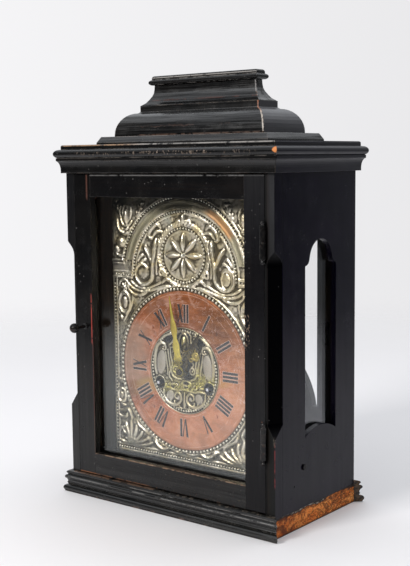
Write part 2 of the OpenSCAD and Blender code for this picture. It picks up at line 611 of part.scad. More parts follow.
module anchor() color(steel) {
  rod_y(0, anc_z, 1, y_fp + 0.5, y_bpb + 10);
  rod_y(0, anc_z, 1.8, p_ew - 2, p_ew + 3);
  slab_y(p_ew - 0.5, p_ew + 2) translate([0, anc_z]) for (s = [-1, 1])
    polygon([[0, 2.6], [s*9, 0.6], [s*15.6, -5.4], [s*15.4, -11.6], [s*13.9, -11.2], [s*13.4, -6.6], [s*8, -2.2], [0, -2.2]]);
  slab_y(y_bpb + 4.2, y_bpb + 6.2) translate([0, anc_z]) {
    circle(r = 3.2);
    translate([-1.3, -57]) square([2.6, 57]);
    translate([-3.2, -59]) square([6.4, 3]);
  }
  for (s = [-1, 1]) box([s*2.4 - 0.8, y_bpb + 5, anc_z - 59], [s*2.4 + 0.8, pen_y + 3, anc_z - 56]);
}
module pendulum_rod() color(steel) {
  difference() {
    union() {
      rod_y(0, anc_z, 4, pen_y - 1.5, pen_y + 1.5);
      rod_z(0, pen_y, 1.2, 44, anc_z - 2.5);
    }
    rod_y(0, anc_z, pin_r + run, pen_y - 3, pen_y + 3);
  }
  rod_z(0, pen_y, 3.6, 44, 46.5);
}
module pendulum_bob() color(brassc) difference() {
  translate([0, pen_y, 46.5 + bob_r]) rotate([90, 0, 0]) rotate([0, 0, 37]) rotate_extrude($fn = 64)
    polygon(concat([[0, -5.4]], arc(0, 0, bob_r, 5.4, -84, 84, 14), [[0, 5.4]]));
  box([-1.2, pen_y - 1.2, 40], [1.2, pen_y + 1.2, 120]);
}

// ---------- strike ----------
module strike_barrel() color(brassc) translate([wind_x, 0, wind_z]) difference() {
  union() {
    barrel_drum();
    rod_y(0, 0, 8, p_dr2 - 0.5, p_sg + 1);
    slab_y(p_sg, p_sg + 2.5) toothed(84, m1, 0);
  }
  rod_y(0, 0, 3 + run, -hd, hd);
}
module pin_wheel() color(brassc) {
  pivoted(pw_x, pw_z, y_fpb + 1, y_bp - 1, 1.6);
  slab_y(p_sg - 0.8, p_sg + 3.4) translate([pw_x, pw_z]) toothed(12, m1, a_pp, true);
  rod_y(pw_x, pw_z, 13.6, p_tw - 4, p_tw - 2.4);
  for (i = [0:7]) rod_y(pw_x + 11.4*cos(45*i), pw_z + 11.4*sin(45*i), 0.9, p_tw - 2.6, p_tw + 2);
}
module hammer() color(steel) {
  rod_y(ham_x, ham_z, 1, y_fp + 0.5, y_fpb + 2);
  rod_y(ham_x, ham_z, 1.5, y_fpb + 1, bell_y + 1.2);
  slab_y(p_tw - 1.4, p_tw + 0.6) translate([ham_x, ham_z]) { circle(r = 3); translate([-1.2, -7.6]) square([2.4, 7.6]); }
  slab_y(bell_y - 1.2, bell_y + 1.2) translate([ham_x, ham_z]) polygon([[-3, -2], [3, -2], [2, 10], [-8.4, bell_z + 10 - ham_z], [-11, bell_z + 10 - ham_z], [-2, 10]]);
  rod_x(bell_y, bell_z + 7, 4.6, bell_r + 1.2, bell_r + 13);
}

plinth_board();
base_moulding_front();
base_moulding_left();
base_moulding_back();
side_panel_left();
side_panel_right();
side_glass_left();
side_glass_right();
carcass_top();
cornice_front();
cornice_back();
cornice_left();
cornice_right();
roof_step_board();
ovolo_front();
ovolo_back();
ovolo_left();
ovolo_right();
roof_cavetto();
roof_cap();
hinge_posts();
side_screw();
dial_board();
dial_rails();
dial_plate();
chapter_ring();
dial_centre();
dial_feet();
front_plate();
back_plate();
plate_pillars();
bell();
bell_stand();
pendulum_cock();
door_stile_left();
door_stile_right();
door_rail_top();
door_rail_bottom();
door_glass();
hinge_knuckles();
door_knob();
back_door();
back_latch();
minute_hand();
cannon_pinion();
centre_wheel();
hour_hand();
hour_wheel();
minute_wheel();
going_barrel();
going_arbor();
third_wheel();
escape_wheel();
anchor();
pendulum_rod();
pendulum_bob();
strike_barrel();
strike_arbor();
pin_wheel();
hammer();
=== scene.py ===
import math
import bpy
import numpy as np
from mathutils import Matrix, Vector


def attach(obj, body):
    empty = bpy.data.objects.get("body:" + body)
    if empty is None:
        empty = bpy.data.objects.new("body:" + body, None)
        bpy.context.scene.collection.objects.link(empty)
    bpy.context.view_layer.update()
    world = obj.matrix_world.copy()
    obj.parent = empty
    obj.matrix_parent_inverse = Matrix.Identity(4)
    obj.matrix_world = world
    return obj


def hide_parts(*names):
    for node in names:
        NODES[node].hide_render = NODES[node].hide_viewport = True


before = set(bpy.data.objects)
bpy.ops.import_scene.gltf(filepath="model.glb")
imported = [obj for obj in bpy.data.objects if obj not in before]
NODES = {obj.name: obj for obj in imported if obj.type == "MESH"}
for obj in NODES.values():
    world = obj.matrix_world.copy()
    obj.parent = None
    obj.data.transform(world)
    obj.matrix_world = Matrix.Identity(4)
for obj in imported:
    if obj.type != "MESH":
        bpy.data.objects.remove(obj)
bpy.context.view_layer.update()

MM = 0.001

# ------------------------------------------------------------------ materials


class Mat:
    """A Principled material with a small arithmetic for its node graph. Lengths are millimetres of the row frame."""

    def __init__(m, name, **fixed):
        m.mat = bpy.data.materials.new(name)
        m.mat.use_nodes = True
        m.nt = m.mat.node_tree
        m.nt.nodes.clear()
        m.out = m.nt.nodes.new("ShaderNodeOutputMaterial")
        m.b = m.nt.nodes.new("ShaderNodeBsdfPrincipled")
        m.nt.links.new(m.b.outputs[0], m.out.inputs[0])
        for k, v in fixed.items():
            m.b.inputs[k.replace("_", " ")].default_value = v
        tc = m.nt.nodes.new("ShaderNodeTexCoord")
        s = m.nt.nodes.new("ShaderNodeVectorMath")
        s.operation = "SCALE"
        m.nt.links.new(tc.outputs["Object"], s.inputs[0])
        s.inputs["Scale"].default_value = 1000.0
        m.P = s.outputs[0]
        sep = m.nt.nodes.new("ShaderNodeSeparateXYZ")
        m.nt.links.new(m.P, sep.inputs[0])
        m.x, m.y, m.z = sep.outputs

    def set(m, socket, v):
        if isinstance(v, bpy.types.NodeSocket):
            m.nt.links.new(v, socket)
        else:
            socket.default_value = v

    def op(m, kind, *a, clamp=False):
        n = m.nt.nodes.new("ShaderNodeMath")
        n.operation = kind
        n.use_clamp = clamp
        for i, v in enumerate(a):
            m.set(n.inputs[i], v)
        return n.outputs[0]

    def add(m, *a):
        r = a[0]
        for b in a[1:]:
            r = m.op("ADD", r, b)
        return r

    def mul(m, *a):
        r = a[0]
        for b in a[1:]:
            r = m.op("MULTIPLY", r, b)
        return r

    def sub(m, a, b):
        return m.op("SUBTRACT", a, b)

    def mx(m, *a):
        r = a[0]
        for b in a[1:]:
            r = m.op("MAXIMUM", r, b)
        return r

    def mn(m, *a):
        r = a[0]
        for b in a[1:]:
            r = m.op("MINIMUM", r, b)
        return r

    def step(m, v, a, b, lo=0.0, hi=1.0):
        """0 below a, 1 above b, smooth in between; a > b turns it round."""
        n = m.nt.nodes.new("ShaderNodeMapRange")
        n.interpolation_type = "SMOOTHSTEP"
        if a > b:
            a, b, lo, hi = b, a, hi, lo
        for k, w in zip(("Value", "From Min", "From Max", "To Min", "To Max"), (v, a, b, lo, hi)):
            m.set(n.inputs[k], w)
        return n.outputs[0]

    def near(m, v, c, w, soft):
        """1 where v is within w of c."""
        return m.step(m.op("ABSOLUTE", m.sub(v, c)), w + soft, w)

    def within(m, v, a, b, soft):
        return m.mul(m.step(v, a - soft, a), m.step(v, b + soft, b))

    def scaled(m, sx, sy, sz, ox=0.0, oy=0.0, oz=0.0):
        n = m.nt.nodes.new("ShaderNodeMapping")
        m.nt.links.new(m.P, n.inputs["Vector"])
        n.inputs["Scale"].default_value = (sx, sy, sz)
        n.inputs["Location"].default_value = (ox, oy, oz)
        return n.outputs[0]

    def noise(m, scale, detail=3.0, rough=0.5, vec=None, dist=0.0, col=False):
        n = m.nt.nodes.new("ShaderNodeTexNoise")
        m.nt.links.new(vec or m.P, n.inputs["Vector"])
        n.inputs["Scale"].default_value = scale
        n.inputs["Detail"].default_value = detail
        n.inputs["Roughness"].default_value = rough
        n.inputs["Distortion"].default_value = dist
        return n.outputs["Color" if col else "Fac"]

    def voronoi(m, scale, vec=None, feature="F1", rand=1.0):
        n = m.nt.nodes.new("ShaderNodeTexVoronoi")
        n.feature = feature
        m.nt.links.new(vec or m.P, n.inputs["Vector"])
        n.inputs["Scale"].default_value = scale
        n.inputs["Randomness"].default_value = rand
        return n.outputs["Distance"]

    def mix(m, fac, a, b):
        n = m.nt.nodes.new("ShaderNodeMix")
        n.data_type = "RGBA"
        n.clamp_factor = True
        m.set(n.inputs[0], fac)
        for i, v in ((6, a), (7, b)):
            if not isinstance(v, bpy.types.NodeSocket):
                v = (v[0], v[1], v[2], 1.0)
            m.set(n.inputs[i], v)
        return n.outputs[2]

    def ramp(m, fac, stops, smooth=False):
        n = m.nt.nodes.new("ShaderNodeValToRGB")
        n.color_ramp.interpolation = "EASE" if smooth else "LINEAR"
        m.set(n.inputs[0], fac)
        e = n.color_ramp.elements
        while len(e) < len(stops):
            e.new(0.5)
        for el, (p, c) in zip(e, stops):
            el.position = p
            el.color = (c[0], c[1], c[2], 1.0)
        return n.outputs[0]

    def attr(m, name):
        n = m.nt.nodes.new("ShaderNodeAttribute")
        n.attribute_name = name
        return n.outputs["Fac"]

    def edges(m, radius):
        """(rounded normal, how sharp the edge is here) from the Bevel node; radius in millimetres."""
        n = m.nt.nodes.new("ShaderNodeBevel")
        n.samples = 6
        n.inputs["Radius"].default_value = radius * MM
        g = m.nt.nodes.new("ShaderNodeNewGeometry")
        d = m.nt.nodes.new("ShaderNodeVectorMath")
        d.operation = "DOT_PRODUCT"
        m.nt.links.new(n.outputs[0], d.inputs[0])
        m.nt.links.new(g.outputs["Normal"], d.inputs[1])
        return n.outputs[0], m.sub(1.0, d.outputs["Value"])

    def bump(m, height, strength, dist_mm, normal=None):
        n = m.nt.nodes.new("ShaderNodeBump")
        n.inputs["Strength"].default_value = strength
        n.inputs["Distance"].default_value = dist_mm * MM
        m.set(n.inputs["Height"], height)
        if normal is not None:
            m.nt.links.new(normal, n.inputs["Normal"])
        return n.outputs[0]

    def finish(m, color=None, rough=None, normal=None, metal=None, alpha=None):
        for k, v in (("Base Color", color), ("Roughness", rough), ("Normal", normal), ("Metallic", metal), ("Alpha", alpha)):
            if v is not None:
                m.set(m.b.inputs[k], v)
        return m.mat


GRAIN = {"x": (0.022, 1.25, 1.25), "y": (1.2, 0.03, 1.2), "z": (1.0, 1.0, 0.035), "round": (0.022, 0.030, 1.25)}
RAW_DARK, RAW_MID, RAW_PALE = (0.055, 0.018, 0.008), (0.30, 0.105, 0.030), (0.52, 0.30, 0.15)


def ebony(name, grain="z", wear=0.5, base=(0.0030, 0.0029, 0.0031), brown=0.4, gloss=0.24, spots=(), scuff=0.5, seed=0.0, sheen=0.3, relief=0.14, spec=0.46, rub_glint=0.22, dull=None, arris=0.7):
    """Worn black polish on brown wood. spots(m) gives (mask, colour) pairs of wear, painted highlights, painted sheen
    and painted shade in named places, dull(m) where it has lost its gloss.
    """
    m = Mat(name, IOR=1.5)
    s = GRAIN[grain]
    g = m.scaled(*s, seed, seed * 1.7, -seed)
    off = m.scaled(1, 1, 1, seed * 3.1, seed, seed * 2.3)
    fibre = m.noise(0.9, 4, 0.6, g)
    coarse = m.noise(0.16, 3, 0.55, g)
    cloud = m.noise(0.016, 4, 0.6, off)
    blotch = m.noise(0.05, 5, 0.65, off)
    col = m.mix(m.step(cloud, 0.40, 0.68), base, (base[0] * 1.9, base[1] * 1.7, base[2] * 1.45))
    col = m.mix(m.mul(m.step(coarse, 0.55, 0.8), 0.55 * brown), col, (0.018, 0.010, 0.006))
    col = m.mix(m.mul(m.step(fibre, 0.60, 0.80), 0.22), col, (0.014, 0.012, 0.011))
    rounded, sharp = m.edges(arris)
    patch = m.mul(m.step(blotch, 0.62 - 0.14 * wear, 0.74 - 0.10 * wear), m.step(m.noise(0.55, 3, 0.6, off), 0.38, 0.60))
    worn = m.mul(m.step(sharp, 0.03, 0.16), patch, min(1.0, 0.45 + wear * 0.5))
    tone = m.noise(0.33, 3, 0.6, off)
    wood = m.ramp(tone, [(0.30, RAW_DARK), (0.50, (0.16, 0.055, 0.020)), (0.68, RAW_MID), (0.85, RAW_PALE)])
    col = m.mix(worn, col, wood)
    # pale line on edges that aren't through to the wood: rubbed polish, and a painted highlight along the edges
    col = m.mix(m.mul(m.step(sharp, 0.03, 0.2), m.step(m.noise(0.07, 5, 0.7, m.scaled(1, 1, 1, seed, 7, seed)), 0.42, 0.60), min(1.0, rub_glint)), col, (0.19, 0.165, 0.14))
    hole = worn
    for mask, c in (spots(m) if spots else ()):
        col = m.mix(mask, col, c)
        hole = m.mx(hole, mask)
    # dust and small scratches in the polish
    scratch = m.mul(m.step(m.noise(1.1, 2, 0.5, m.scaled(0.12, 1.0, 0.35, seed, 0, 0)), 0.70, 0.78), m.step(blotch, 0.48, 0.66), scuff)
    speck = m.mul(m.step(m.voronoi(0.13, off), 0.10, 0.06), m.step(m.noise(0.03, 2, 0.5, off), 0.50, 0.60), scuff)
    col = m.mix(m.mul(m.mx(scratch, speck), 0.6), col, (0.20, 0.19, 0.18))
    rough = m.add(gloss, m.mul(m.step(blotch, 0.40, 0.75), 0.10), m.mul(fibre, 0.05), m.mul(hole, 0.3), m.mul(scratch, 0.2))
    # streaks of gloss along the grain
    crack = m.step(m.noise(0.42, 5, 0.7, g), 0.47, 0.36)
    streak = m.add(m.mul(m.step(coarse, 0.36, 0.66), 0.9), m.mul(m.step(fibre, 0.40, 0.64), 0.5), m.mul(crack, -0.6), -0.55)
    level = m.mx(0.06, m.mul(spec, m.add(1.0, m.mul(streak, sheen))))
    if dull:
        level = m.mx(0.0, m.mul(level, m.sub(1.0, m.mul(dull(m), 0.92))))
    m.b.inputs["Specular IOR Level"].default_value = min(spec, 0.6)
    m.set(m.b.inputs["Specular IOR Level"], level)
    height = m.add(m.mul(fibre, 0.5), m.mul(coarse, 0.5), m.mul(hole, -1.2), m.mul(m.noise(0.02, 2, 0.5, off), 3.0))
    return m.finish(col, rough, m.bump(height, relief, 0.10, rounded))


def streaky(m, along, lo, hi, thr0, thr1, scale=0.09, seed=0.0):
    """Broken stretches along an edge: noise that runs on one axis only."""
    k = {"x": (1, 0.5, 0.5), "y": (0.5, 1, 0.5), "z": (0.5, 0.5, 1)}[along]
    n = m.noise(scale, 5, 0.7, m.scaled(*k, seed, seed, seed))
    v = {"x": m.x, "y": m.y, "z": m.z}[along]
    return m.mul(m.step(n, thr0, thr1), m.within(v, lo, hi, 6.0))


def raw_wood():
    """The base board: bare burr wood on its right end, below a ragged edge of black, and black elsewhere."""
    m = Mat("bare_wood_base", IOR=1.48)
    warp = m.noise(0.035, 4, 0.6)
    n1 = m.noise(0.060, 6, 0.66, m.scaled(1, 0.6, 1.0), 1.4)
    n2 = m.noise(0.24, 5, 0.74, m.scaled(1, 0.7, 1.2), 2.4)
    mixed = m.add(m.mul(n1, 0.42), m.mul(n2, 0.58))
    wood = m.ramp(mixed, [(0.36, (0.06, 0.012, 0.004)), (0.43, (0.42, 0.085, 0.016)), (0.49, (0.86, 0.235, 0.036)), (0.56, (0.96, 0.37, 0.085)), (0.66, (1.0, 0.50, 0.18))])
    vein = m.mx(m.mul(m.near(n1, 0.505, 0.010, 0.020), m.step(n2, 0.36, 0.52)), m.step(m.noise(0.085, 6, 0.75, m.scaled(1, 0.8, 1.4, 7, 3, 1), 3.0), 0.60, 0.66))
    knot = m.mul(m.near(m.noise(0.05, 5, 0.75, m.scaled(1, 0.8, 1.0, 3, 9, 4), 2.6), 0.50, 0.012, 0.022), m.step(m.y, 0.0, 24.0))
    vein = m.mx(vein, knot)
    wood = m.mix(m.mul(vein, 0.92), wood, (0.035, 0.008, 0.003))
    low = m.step(m.noise(0.13, 4, 0.7, m.scaled(1, 0.7, 1, 2, 5, 1)), 0.42, 0.56)
    wood = m.mix(m.mul(m.step(m.y, -10.0, -70.0), m.add(0.35, m.mul(low, 0.5))), wood, m.mix(low, (0.34, 0.060, 0.018), (0.10, 0.020, 0.009)))
    fleck = m.step(m.noise(0.42, 4, 0.72, m.scaled(1, 0.8, 1.1, 4, 4, 1), 1.6), 0.56, 0.64)
    wood = m.mix(m.mul(fleck, 0.75), wood, (0.10, 0.026, 0.010))
    pale = m.step(m.noise(0.26, 4, 0.7, m.scaled(1, 0.8, 1.1, 9, 1, 7), 1.8), 0.60, 0.68)
    wood = m.mix(m.mul(pale, 0.6, m.step(m.y, -40.0, -10.0)), wood, (1.0, 0.62, 0.34))
    wood = m.mix(m.mul(m.step(m.z, 3.0, 0.8), 0.7), wood, (0.06, 0.014, 0.006))
    black = m.mix(m.noise(0.3, 3), (0.006, 0.006, 0.007), (0.022, 0.016, 0.012))
    edge = m.nt.nodes.new("ShaderNodeFloatCurve")
    cv = edge.mapping.curves[0]
    # where the black ends on the right-hand end: (y + 82) / 164 against z / 40
    pts = [(-82, 19.6), (-71, 20.6), (-52, 20.1), (-38, 19.4), (-18, 21.4), (5, 18.7), (31, 21.9), (53, 21.7), (79, 19.3)]
    while len(cv.points) < len(pts):
        cv.points.new(0.5, 0.5)
    for q, (yy, zz) in zip(cv.points, pts):
        q.location = ((yy + 82) / 164, zz / 40)
    edge.mapping.update()
    m.set(edge.inputs["Value"], m.op("DIVIDE", m.add(m.y, 82.0), 164.0))
    limit = m.add(m.mul(edge.outputs[0], 40.0), m.mul(m.sub(m.noise(0.25, 4, 0.7), 0.5), 3.2))
    bare = m.mul(m.step(m.sub(limit, m.z), -0.3, 0.5), m.step(m.x, 148.6, 149.3), m.step(m.z, 0.3, 1.1))
    col = m.mix(bare, black, wood)
    rim = m.mul(m.near(m.sub(limit, m.z), 0.0, 0.5, 0.6), m.step(m.x, 148.6, 149.3))
    col = m.mix(m.mul(rim, 0.9), col, (0.022, 0.009, 0.005))
    smear = m.mul(m.step(m.sub(limit, m.z), 5.5, 0.4), m.step(m.noise(0.30, 4, 0.7, m.scaled(1, 0.6, 1, 6, 2, 8)), 0.44, 0.58), bare)
    col = m.mix(m.mul(smear, 0.8), col, (0.055, 0.014, 0.006))
    peel = m.mul(m.near(m.sub(limit, m.z), -0.9, 0.5, 0.6), m.within(m.y, -62.0, 14.0, 8.0), m.step(m.noise(0.16, 4, 0.7), 0.46, 0.56), m.step(m.x, 148.6, 149.3))
    col = m.mix(m.mul(peel, 0.9), col, (0.40, 0.36, 0.30))
    rounded, sharp = m.edges(0.6)
    m.b.inputs["Specular IOR Level"].default_value = 0.16
    h = m.add(m.mul(n2, 0.8), m.mul(vein, -0.8), m.mul(bare, -1.6), m.mul(warp, 1.0))
    return m.finish(col, m.add(0.42, m.mul(bare, 0.16), m.mul(n2, 0.08)), m.bump(h, 0.5, 0.25, rounded))


def inner_wood():
    m = Mat("inner_wood", IOR=1.45)
    g = m.scaled(1.0, 1.0, 0.06)
    f = m.noise(0.7, 5, 0.6, g)
    c = m.noise(0.12, 3, 0.5, g, 0.6)
    col = m.ramp(m.add(m.mul(f, 0.5), m.mul(c, 0.5)), [(0.3, (0.018, 0.010, 0.006)), (0.5, (0.045, 0.025, 0.014)), (0.72, (0.10, 0.058, 0.032))])
    col = m.mix(m.mul(m.step(m.noise(0.02, 4, 0.6), 0.5, 0.7), 0.5), col, (0.012, 0.009, 0.008))
    rounded, _ = m.edges(0.5)
    return m.finish(col, m.add(0.62, m.mul(f, 0.15)), m.bump(f, 0.4, 0.15, rounded))


def glass(name, dirt=0.02, tint=(0.86, 0.93, 0.92)):
    """A thin pane: what Fresnel mirrors, a little dust, and the rest passes."""
    m = Mat(name, Metallic=1.0, IOR=1.5)
    lw = m.nt.nodes.new("ShaderNodeLayerWeight")
    lw.inputs["Blend"].default_value = 0.5
    f5 = m.op("POWER", lw.outputs["Facing"], 4.6)
    smear = m.mul(m.step(m.noise(0.012, 5, 0.65, m.scaled(1, 1, 0.4)), 0.45, 0.75), dirt)
    dust = m.mul(m.step(m.noise(0.8, 2, 0.5), 0.68, 0.76), dirt * 1.5)
    a = m.add(0.050, m.mul(f5, 0.85), smear, dust)
    return m.finish(m.mix(m.noise(0.05, 2), tint, (0.95, 0.97, 0.96)), m.add(0.03, m.mul(m.noise(0.02, 3), 0.05)), None, None, a)


def iron(name="black_iron", metal=0.6):
    m = Mat(name, Metallic=metal, IOR=1.5)
    n = m.noise(0.35, 5, 0.65)
    col = m.mix(m.step(n, 0.42, 0.66), (0.010, 0.010, 0.011), (0.030, 0.027, 0.025))
    rounded, sharp = m.edges(0.35)
    # pale edges: worn iron, and a painted highlight along them
    bright = m.mul(m.step(sharp, 0.03, 0.16), m.step(m.noise(0.2, 3), 0.36, 0.54))
    col = m.mix(m.mul(bright, 0.75), col, (0.36, 0.33, 0.30))
    rust = m.mul(m.step(m.noise(0.16, 4, 0.7, m.scaled(1, 1, 1, 5, 9, 2)), 0.56, 0.68), m.mx(0.25, m.near(m.z, 122.0, 5.0, 6.0)))
    col = m.mix(rust, col, (0.16, 0.055, 0.022))
    return m.finish(col, m.add(0.13, m.mul(n, 0.16), m.mul(rust, 0.3)), m.bump(n, 0.3, 0.15, rounded))


def brass(name, base=(0.58, 0.39, 0.13), dark=(0.20, 0.12, 0.04), rough=0.30, tarnish=0.5, fine=0.7, spots=None):
    m = Mat(name, Metallic=1.0)
    n = m.noise(0.07, 5, 0.6)
    f = m.noise(fine, 4, 0.6)
    col = m.mix(m.mul(m.step(n, 0.45, 0.72), tarnish), base, dark)
    col = m.mix(m.mul(m.step(f, 0.52, 0.72), 0.35), col, (min(1, base[0] * 1.35), min(1, base[1] * 1.3), base[2] * 1.25))
    for mask, c in (spots(m) if spots else ()):
        col = m.mix(mask, col, c)
    rounded, sharp = m.edges(0.25)
    return m.finish(col, m.add(rough, m.mul(n, 0.16), m.mul(f, 0.08)), m.bump(m.add(m.mul(f, 0.4), n), 0.25, 0.12, rounded))


def centre_distance(m):
    zc = m.sub(m.z, 160.5)
    return m.op("SQRT", m.add(m.mul(m.x, m.x), m.mul(zc, zc)))


def minute_tarnish(m):
    r = m.add(centre_distance(m), m.mul(m.sub(m.noise(0.22, 4, 0.65), 0.5), 9.0))
    streak = m.mul(m.step(m.noise(0.30, 4, 0.65, m.scaled(1, 1, 0.45, 2, 5, 1)), 0.52, 0.64), m.step(r, 46.0, 30.0))
    return [(m.mul(m.step(r, 19.0, 11.0), 0.85), (0.13, 0.105, 0.020)), (m.mul(streak, 0.45), (0.42, 0.33, 0.08)),
            (m.mul(m.near(r, 50.0, 4.0, 5.0), 0.35), (0.50, 0.32, 0.03))]


def hour_hand_darkening(m):
    # the root and the right-hand edge darker, and the tip nearly black: a painted reflection of dark surroundings
    r = centre_distance(m)
    n = m.step(m.noise(0.28, 4, 0.65, m.scaled(1, 1, 1, 3, 3, 3)), 0.40, 0.58)
    c, s = math.cos(math.radians(30.0)), math.sin(math.radians(30.0))
    side = m.sub(m.mul(m.x, c), m.mul(m.sub(m.z, 160.5), s))
    return [(m.mul(m.step(r, 21.0, 14.0), m.add(0.55, m.mul(n, 0.40))), (0.028, 0.022, 0.014)), (m.mul(m.step(r, 32.0, 37.0), m.add(0.62, m.mul(n, 0.35))), (0.030, 0.024, 0.022)),
            (m.mul(m.step(side, 4.6, 2.6), m.add(0.66, m.mul(n, 0.28))), (0.045, 0.034, 0.020))]


def steel(name="worked_steel"):
    m = Mat(name, Metallic=1.0)
    n = m.noise(0.09, 5, 0.6)
    f = m.noise(1.4, 3, 0.6)
    col = m.mix(m.step(n, 0.4, 0.7), (0.36, 0.36, 0.37), (0.20, 0.18, 0.16))
    rust = m.step(m.noise(0.22, 5, 0.7, m.scaled(1, 1, 1, 4, 4, 4)), 0.60, 0.72)
    col = m.mix(m.mul(rust, 0.5), col, (0.13, 0.06, 0.03))
    return m.finish(col, m.add(0.28, m.mul(n, 0.2), m.mul(rust, 0.25)), m.bump(f, 0.2, 0.05))


def winding_square():
    m = Mat("winding_square", Metallic=1.0)
    n = m.noise(0.5, 4, 0.6)
    dx, dz = m.sub(m.op("ABSOLUTE", m.x), 36.3), m.sub(m.z, 143.3)
    d = m.mx(m.op("ABSOLUTE", dx), m.op("ABSOLUTE", dz))
    # painted highlight on the square's front face; the rest painted near black, as the shade inside the winding hole
    tip = m.mul(m.step(m.y, -51.2, -51.45), m.step(m.add(d, m.mul(n, 0.4)), 2.0, 1.6))
    col = m.mix(tip, m.mix(n, (0.012, 0.011, 0.011), (0.045, 0.038, 0.034)), (0.88, 0.87, 0.90))
    rounded, _ = m.edges(0.3)
    return m.finish(col, m.add(0.30, m.mul(n, 0.2)), m.bump(n, 0.3, 0.1, rounded))


def silvered(name="silvered_repousse", centre=False):
    """Thin silvered brass with gold and brown tarnish: the high places lightened, as polish and as a painted highlight;
    the hollows black, as tarnish and as painted shade.
    """
    m = Mat(name, Metallic=1.0)
    cav = m.attr("cavity")
    band = m.attr("band")
    high = m.attr("high")
    n = m.noise(0.045, 5, 0.62)
    f = m.noise(0.42, 4, 0.62)
    silver = m.mix(m.step(m.noise(0.024, 4, 0.6, m.scaled(1, 1, 1, 3, 1, 6)), 0.42, 0.62), (0.93, 0.86, 0.70), (0.76, 0.66, 0.44))
    gold = m.step(n, 0.50, 0.70)
    col = m.mix(m.mul(gold, 0.70), silver, (0.70, 0.55, 0.26))
    violet = m.step(m.noise(0.08, 3, 0.6, m.scaled(1, 1, 1, 8, 2, 5)), 0.54, 0.70)
    col = m.mix(m.mul(violet, 0.35), col, (0.66, 0.60, 0.62))
    green = m.step(m.noise(0.06, 3, 0.6, m.scaled(1, 1, 1, 1, 9, 11)), 0.56, 0.72)
    col = m.mix(m.mul(green, 0.30), col, (0.52, 0.60, 0.48))
    if not centre:
        # the plain band between the arches: copper showing through at the upper right
        ang = m.op("ARCTAN2", m.sub(m.z, 269.3), m.x)
        where = m.near(m.add(ang, m.mul(m.sub(m.noise(0.05, 4), 0.5), 0.5)), 0.86, 0.16, 0.22)
        olive = m.mix(m.noise(0.09, 4, 0.6, m.scaled(1, 1, 0.35)), (0.34, 0.31, 0.21), (0.62, 0.57, 0.38))
        copper = m.mix(where, olive, (0.62, 0.33, 0.14))
        col = m.mix(m.mul(band, 0.9), col, copper)
    # hollows darkened: tarnish that lies in them, and painted shade
    low = m.step(cav, 0.14, 0.66)
    col = m.mix(m.mul(low, 0.93), col, m.mix(f, (0.024, 0.020, 0.013), (0.100, 0.082, 0.054)))
    rough = m.add(0.30, m.mul(f, 0.16), m.mul(low, 0.16), m.mul(gold, 0.06), m.mul(band, 0.06), m.mul(high, -0.06))
    if centre:
        col = m.mix(0.55, col, m.mix(m.step(m.add(m.x, m.mul(m.sub(n, 0.5), 40.0)), -8.0, -26.0), (0.40, 0.33, 0.17), (0.40, 0.38, 0.26)))
        # the centre's hollows darker still: tarnish and painted shade
        col = m.mix(m.mul(m.step(cav, 0.10, 0.50), 0.95), col, m.mix(f, (0.016, 0.013, 0.008), (0.070, 0.056, 0.034)))
        # gilt traces, together with a painted reflection: a gold band across the lower half of the disc
        gilt = m.mul(m.attr("gilt"), m.step(m.noise(0.16, 4, 0.65), 0.34, 0.50))
        col = m.mix(m.mul(gilt, m.sub(1.0, m.mul(low, 0.55)), 0.85), col, m.mix(m.step(f, 0.42, 0.60), (0.34, 0.29, 0.045), (0.80, 0.72, 0.20)))
        lilac = m.attr("panel")
        col = m.mix(m.mul(lilac, 0.60), col, m.mix(f, (0.30, 0.28, 0.26), (0.50, 0.46, 0.43)))
        # raised places lightened: polish, and a painted highlight
        col = m.mix(m.mul(m.step(high, 0.45, 0.95), 0.45), col, (0.95, 0.92, 0.80))
        shade = m.attr("shade")
        col = m.mix(m.mul(m.step(m.add(shade, m.mul(m.sub(m.noise(0.3, 4, 0.6), 0.5), 0.5)), 0.30, 0.70), 0.93), col, (0.020, 0.017, 0.017))
        rough = m.add(rough, m.mul(shade, 0.15), m.mul(lilac, 0.10))
    else:
        # painted shadow: the top of the plate darkened where the door's top rail shades it
        rail_shadow = m.mul(m.step(m.add(m.z, m.mul(m.sub(n, 0.5), 26.0)), 336.0, 352.0), 0.84)
        col = m.mix(rail_shadow, col, (0.034, 0.030, 0.024))
        # painted shadow: the top-left corner of the plate darkened
        corner_shadow = m.mul(m.step(m.add(m.sub(m.z, 300.0), m.mul(m.add(m.x, 100.0), -1.6)), 20.0, 44.0), 0.78)
        col = m.mix(corner_shadow, col, (0.045, 0.038, 0.028))
        # raised places lightened: polish, and a painted highlight
        col = m.mix(m.mul(m.step(high, 0.45, 0.95), 0.60), col, (0.96, 0.93, 0.82))
    chase = m.noise(0.60, 3, 0.6, m.scaled(1, 1, 0.7, 5, 5, 5), 1.2)
    height = m.add(m.mul(f, 0.8), m.mul(chase, 0.8), m.mul(m.noise(1.3, 3, 0.6), 0.35), m.mul(n, 1.2))
    return m.finish(col, rough, m.bump(height, 0.50, 0.34))


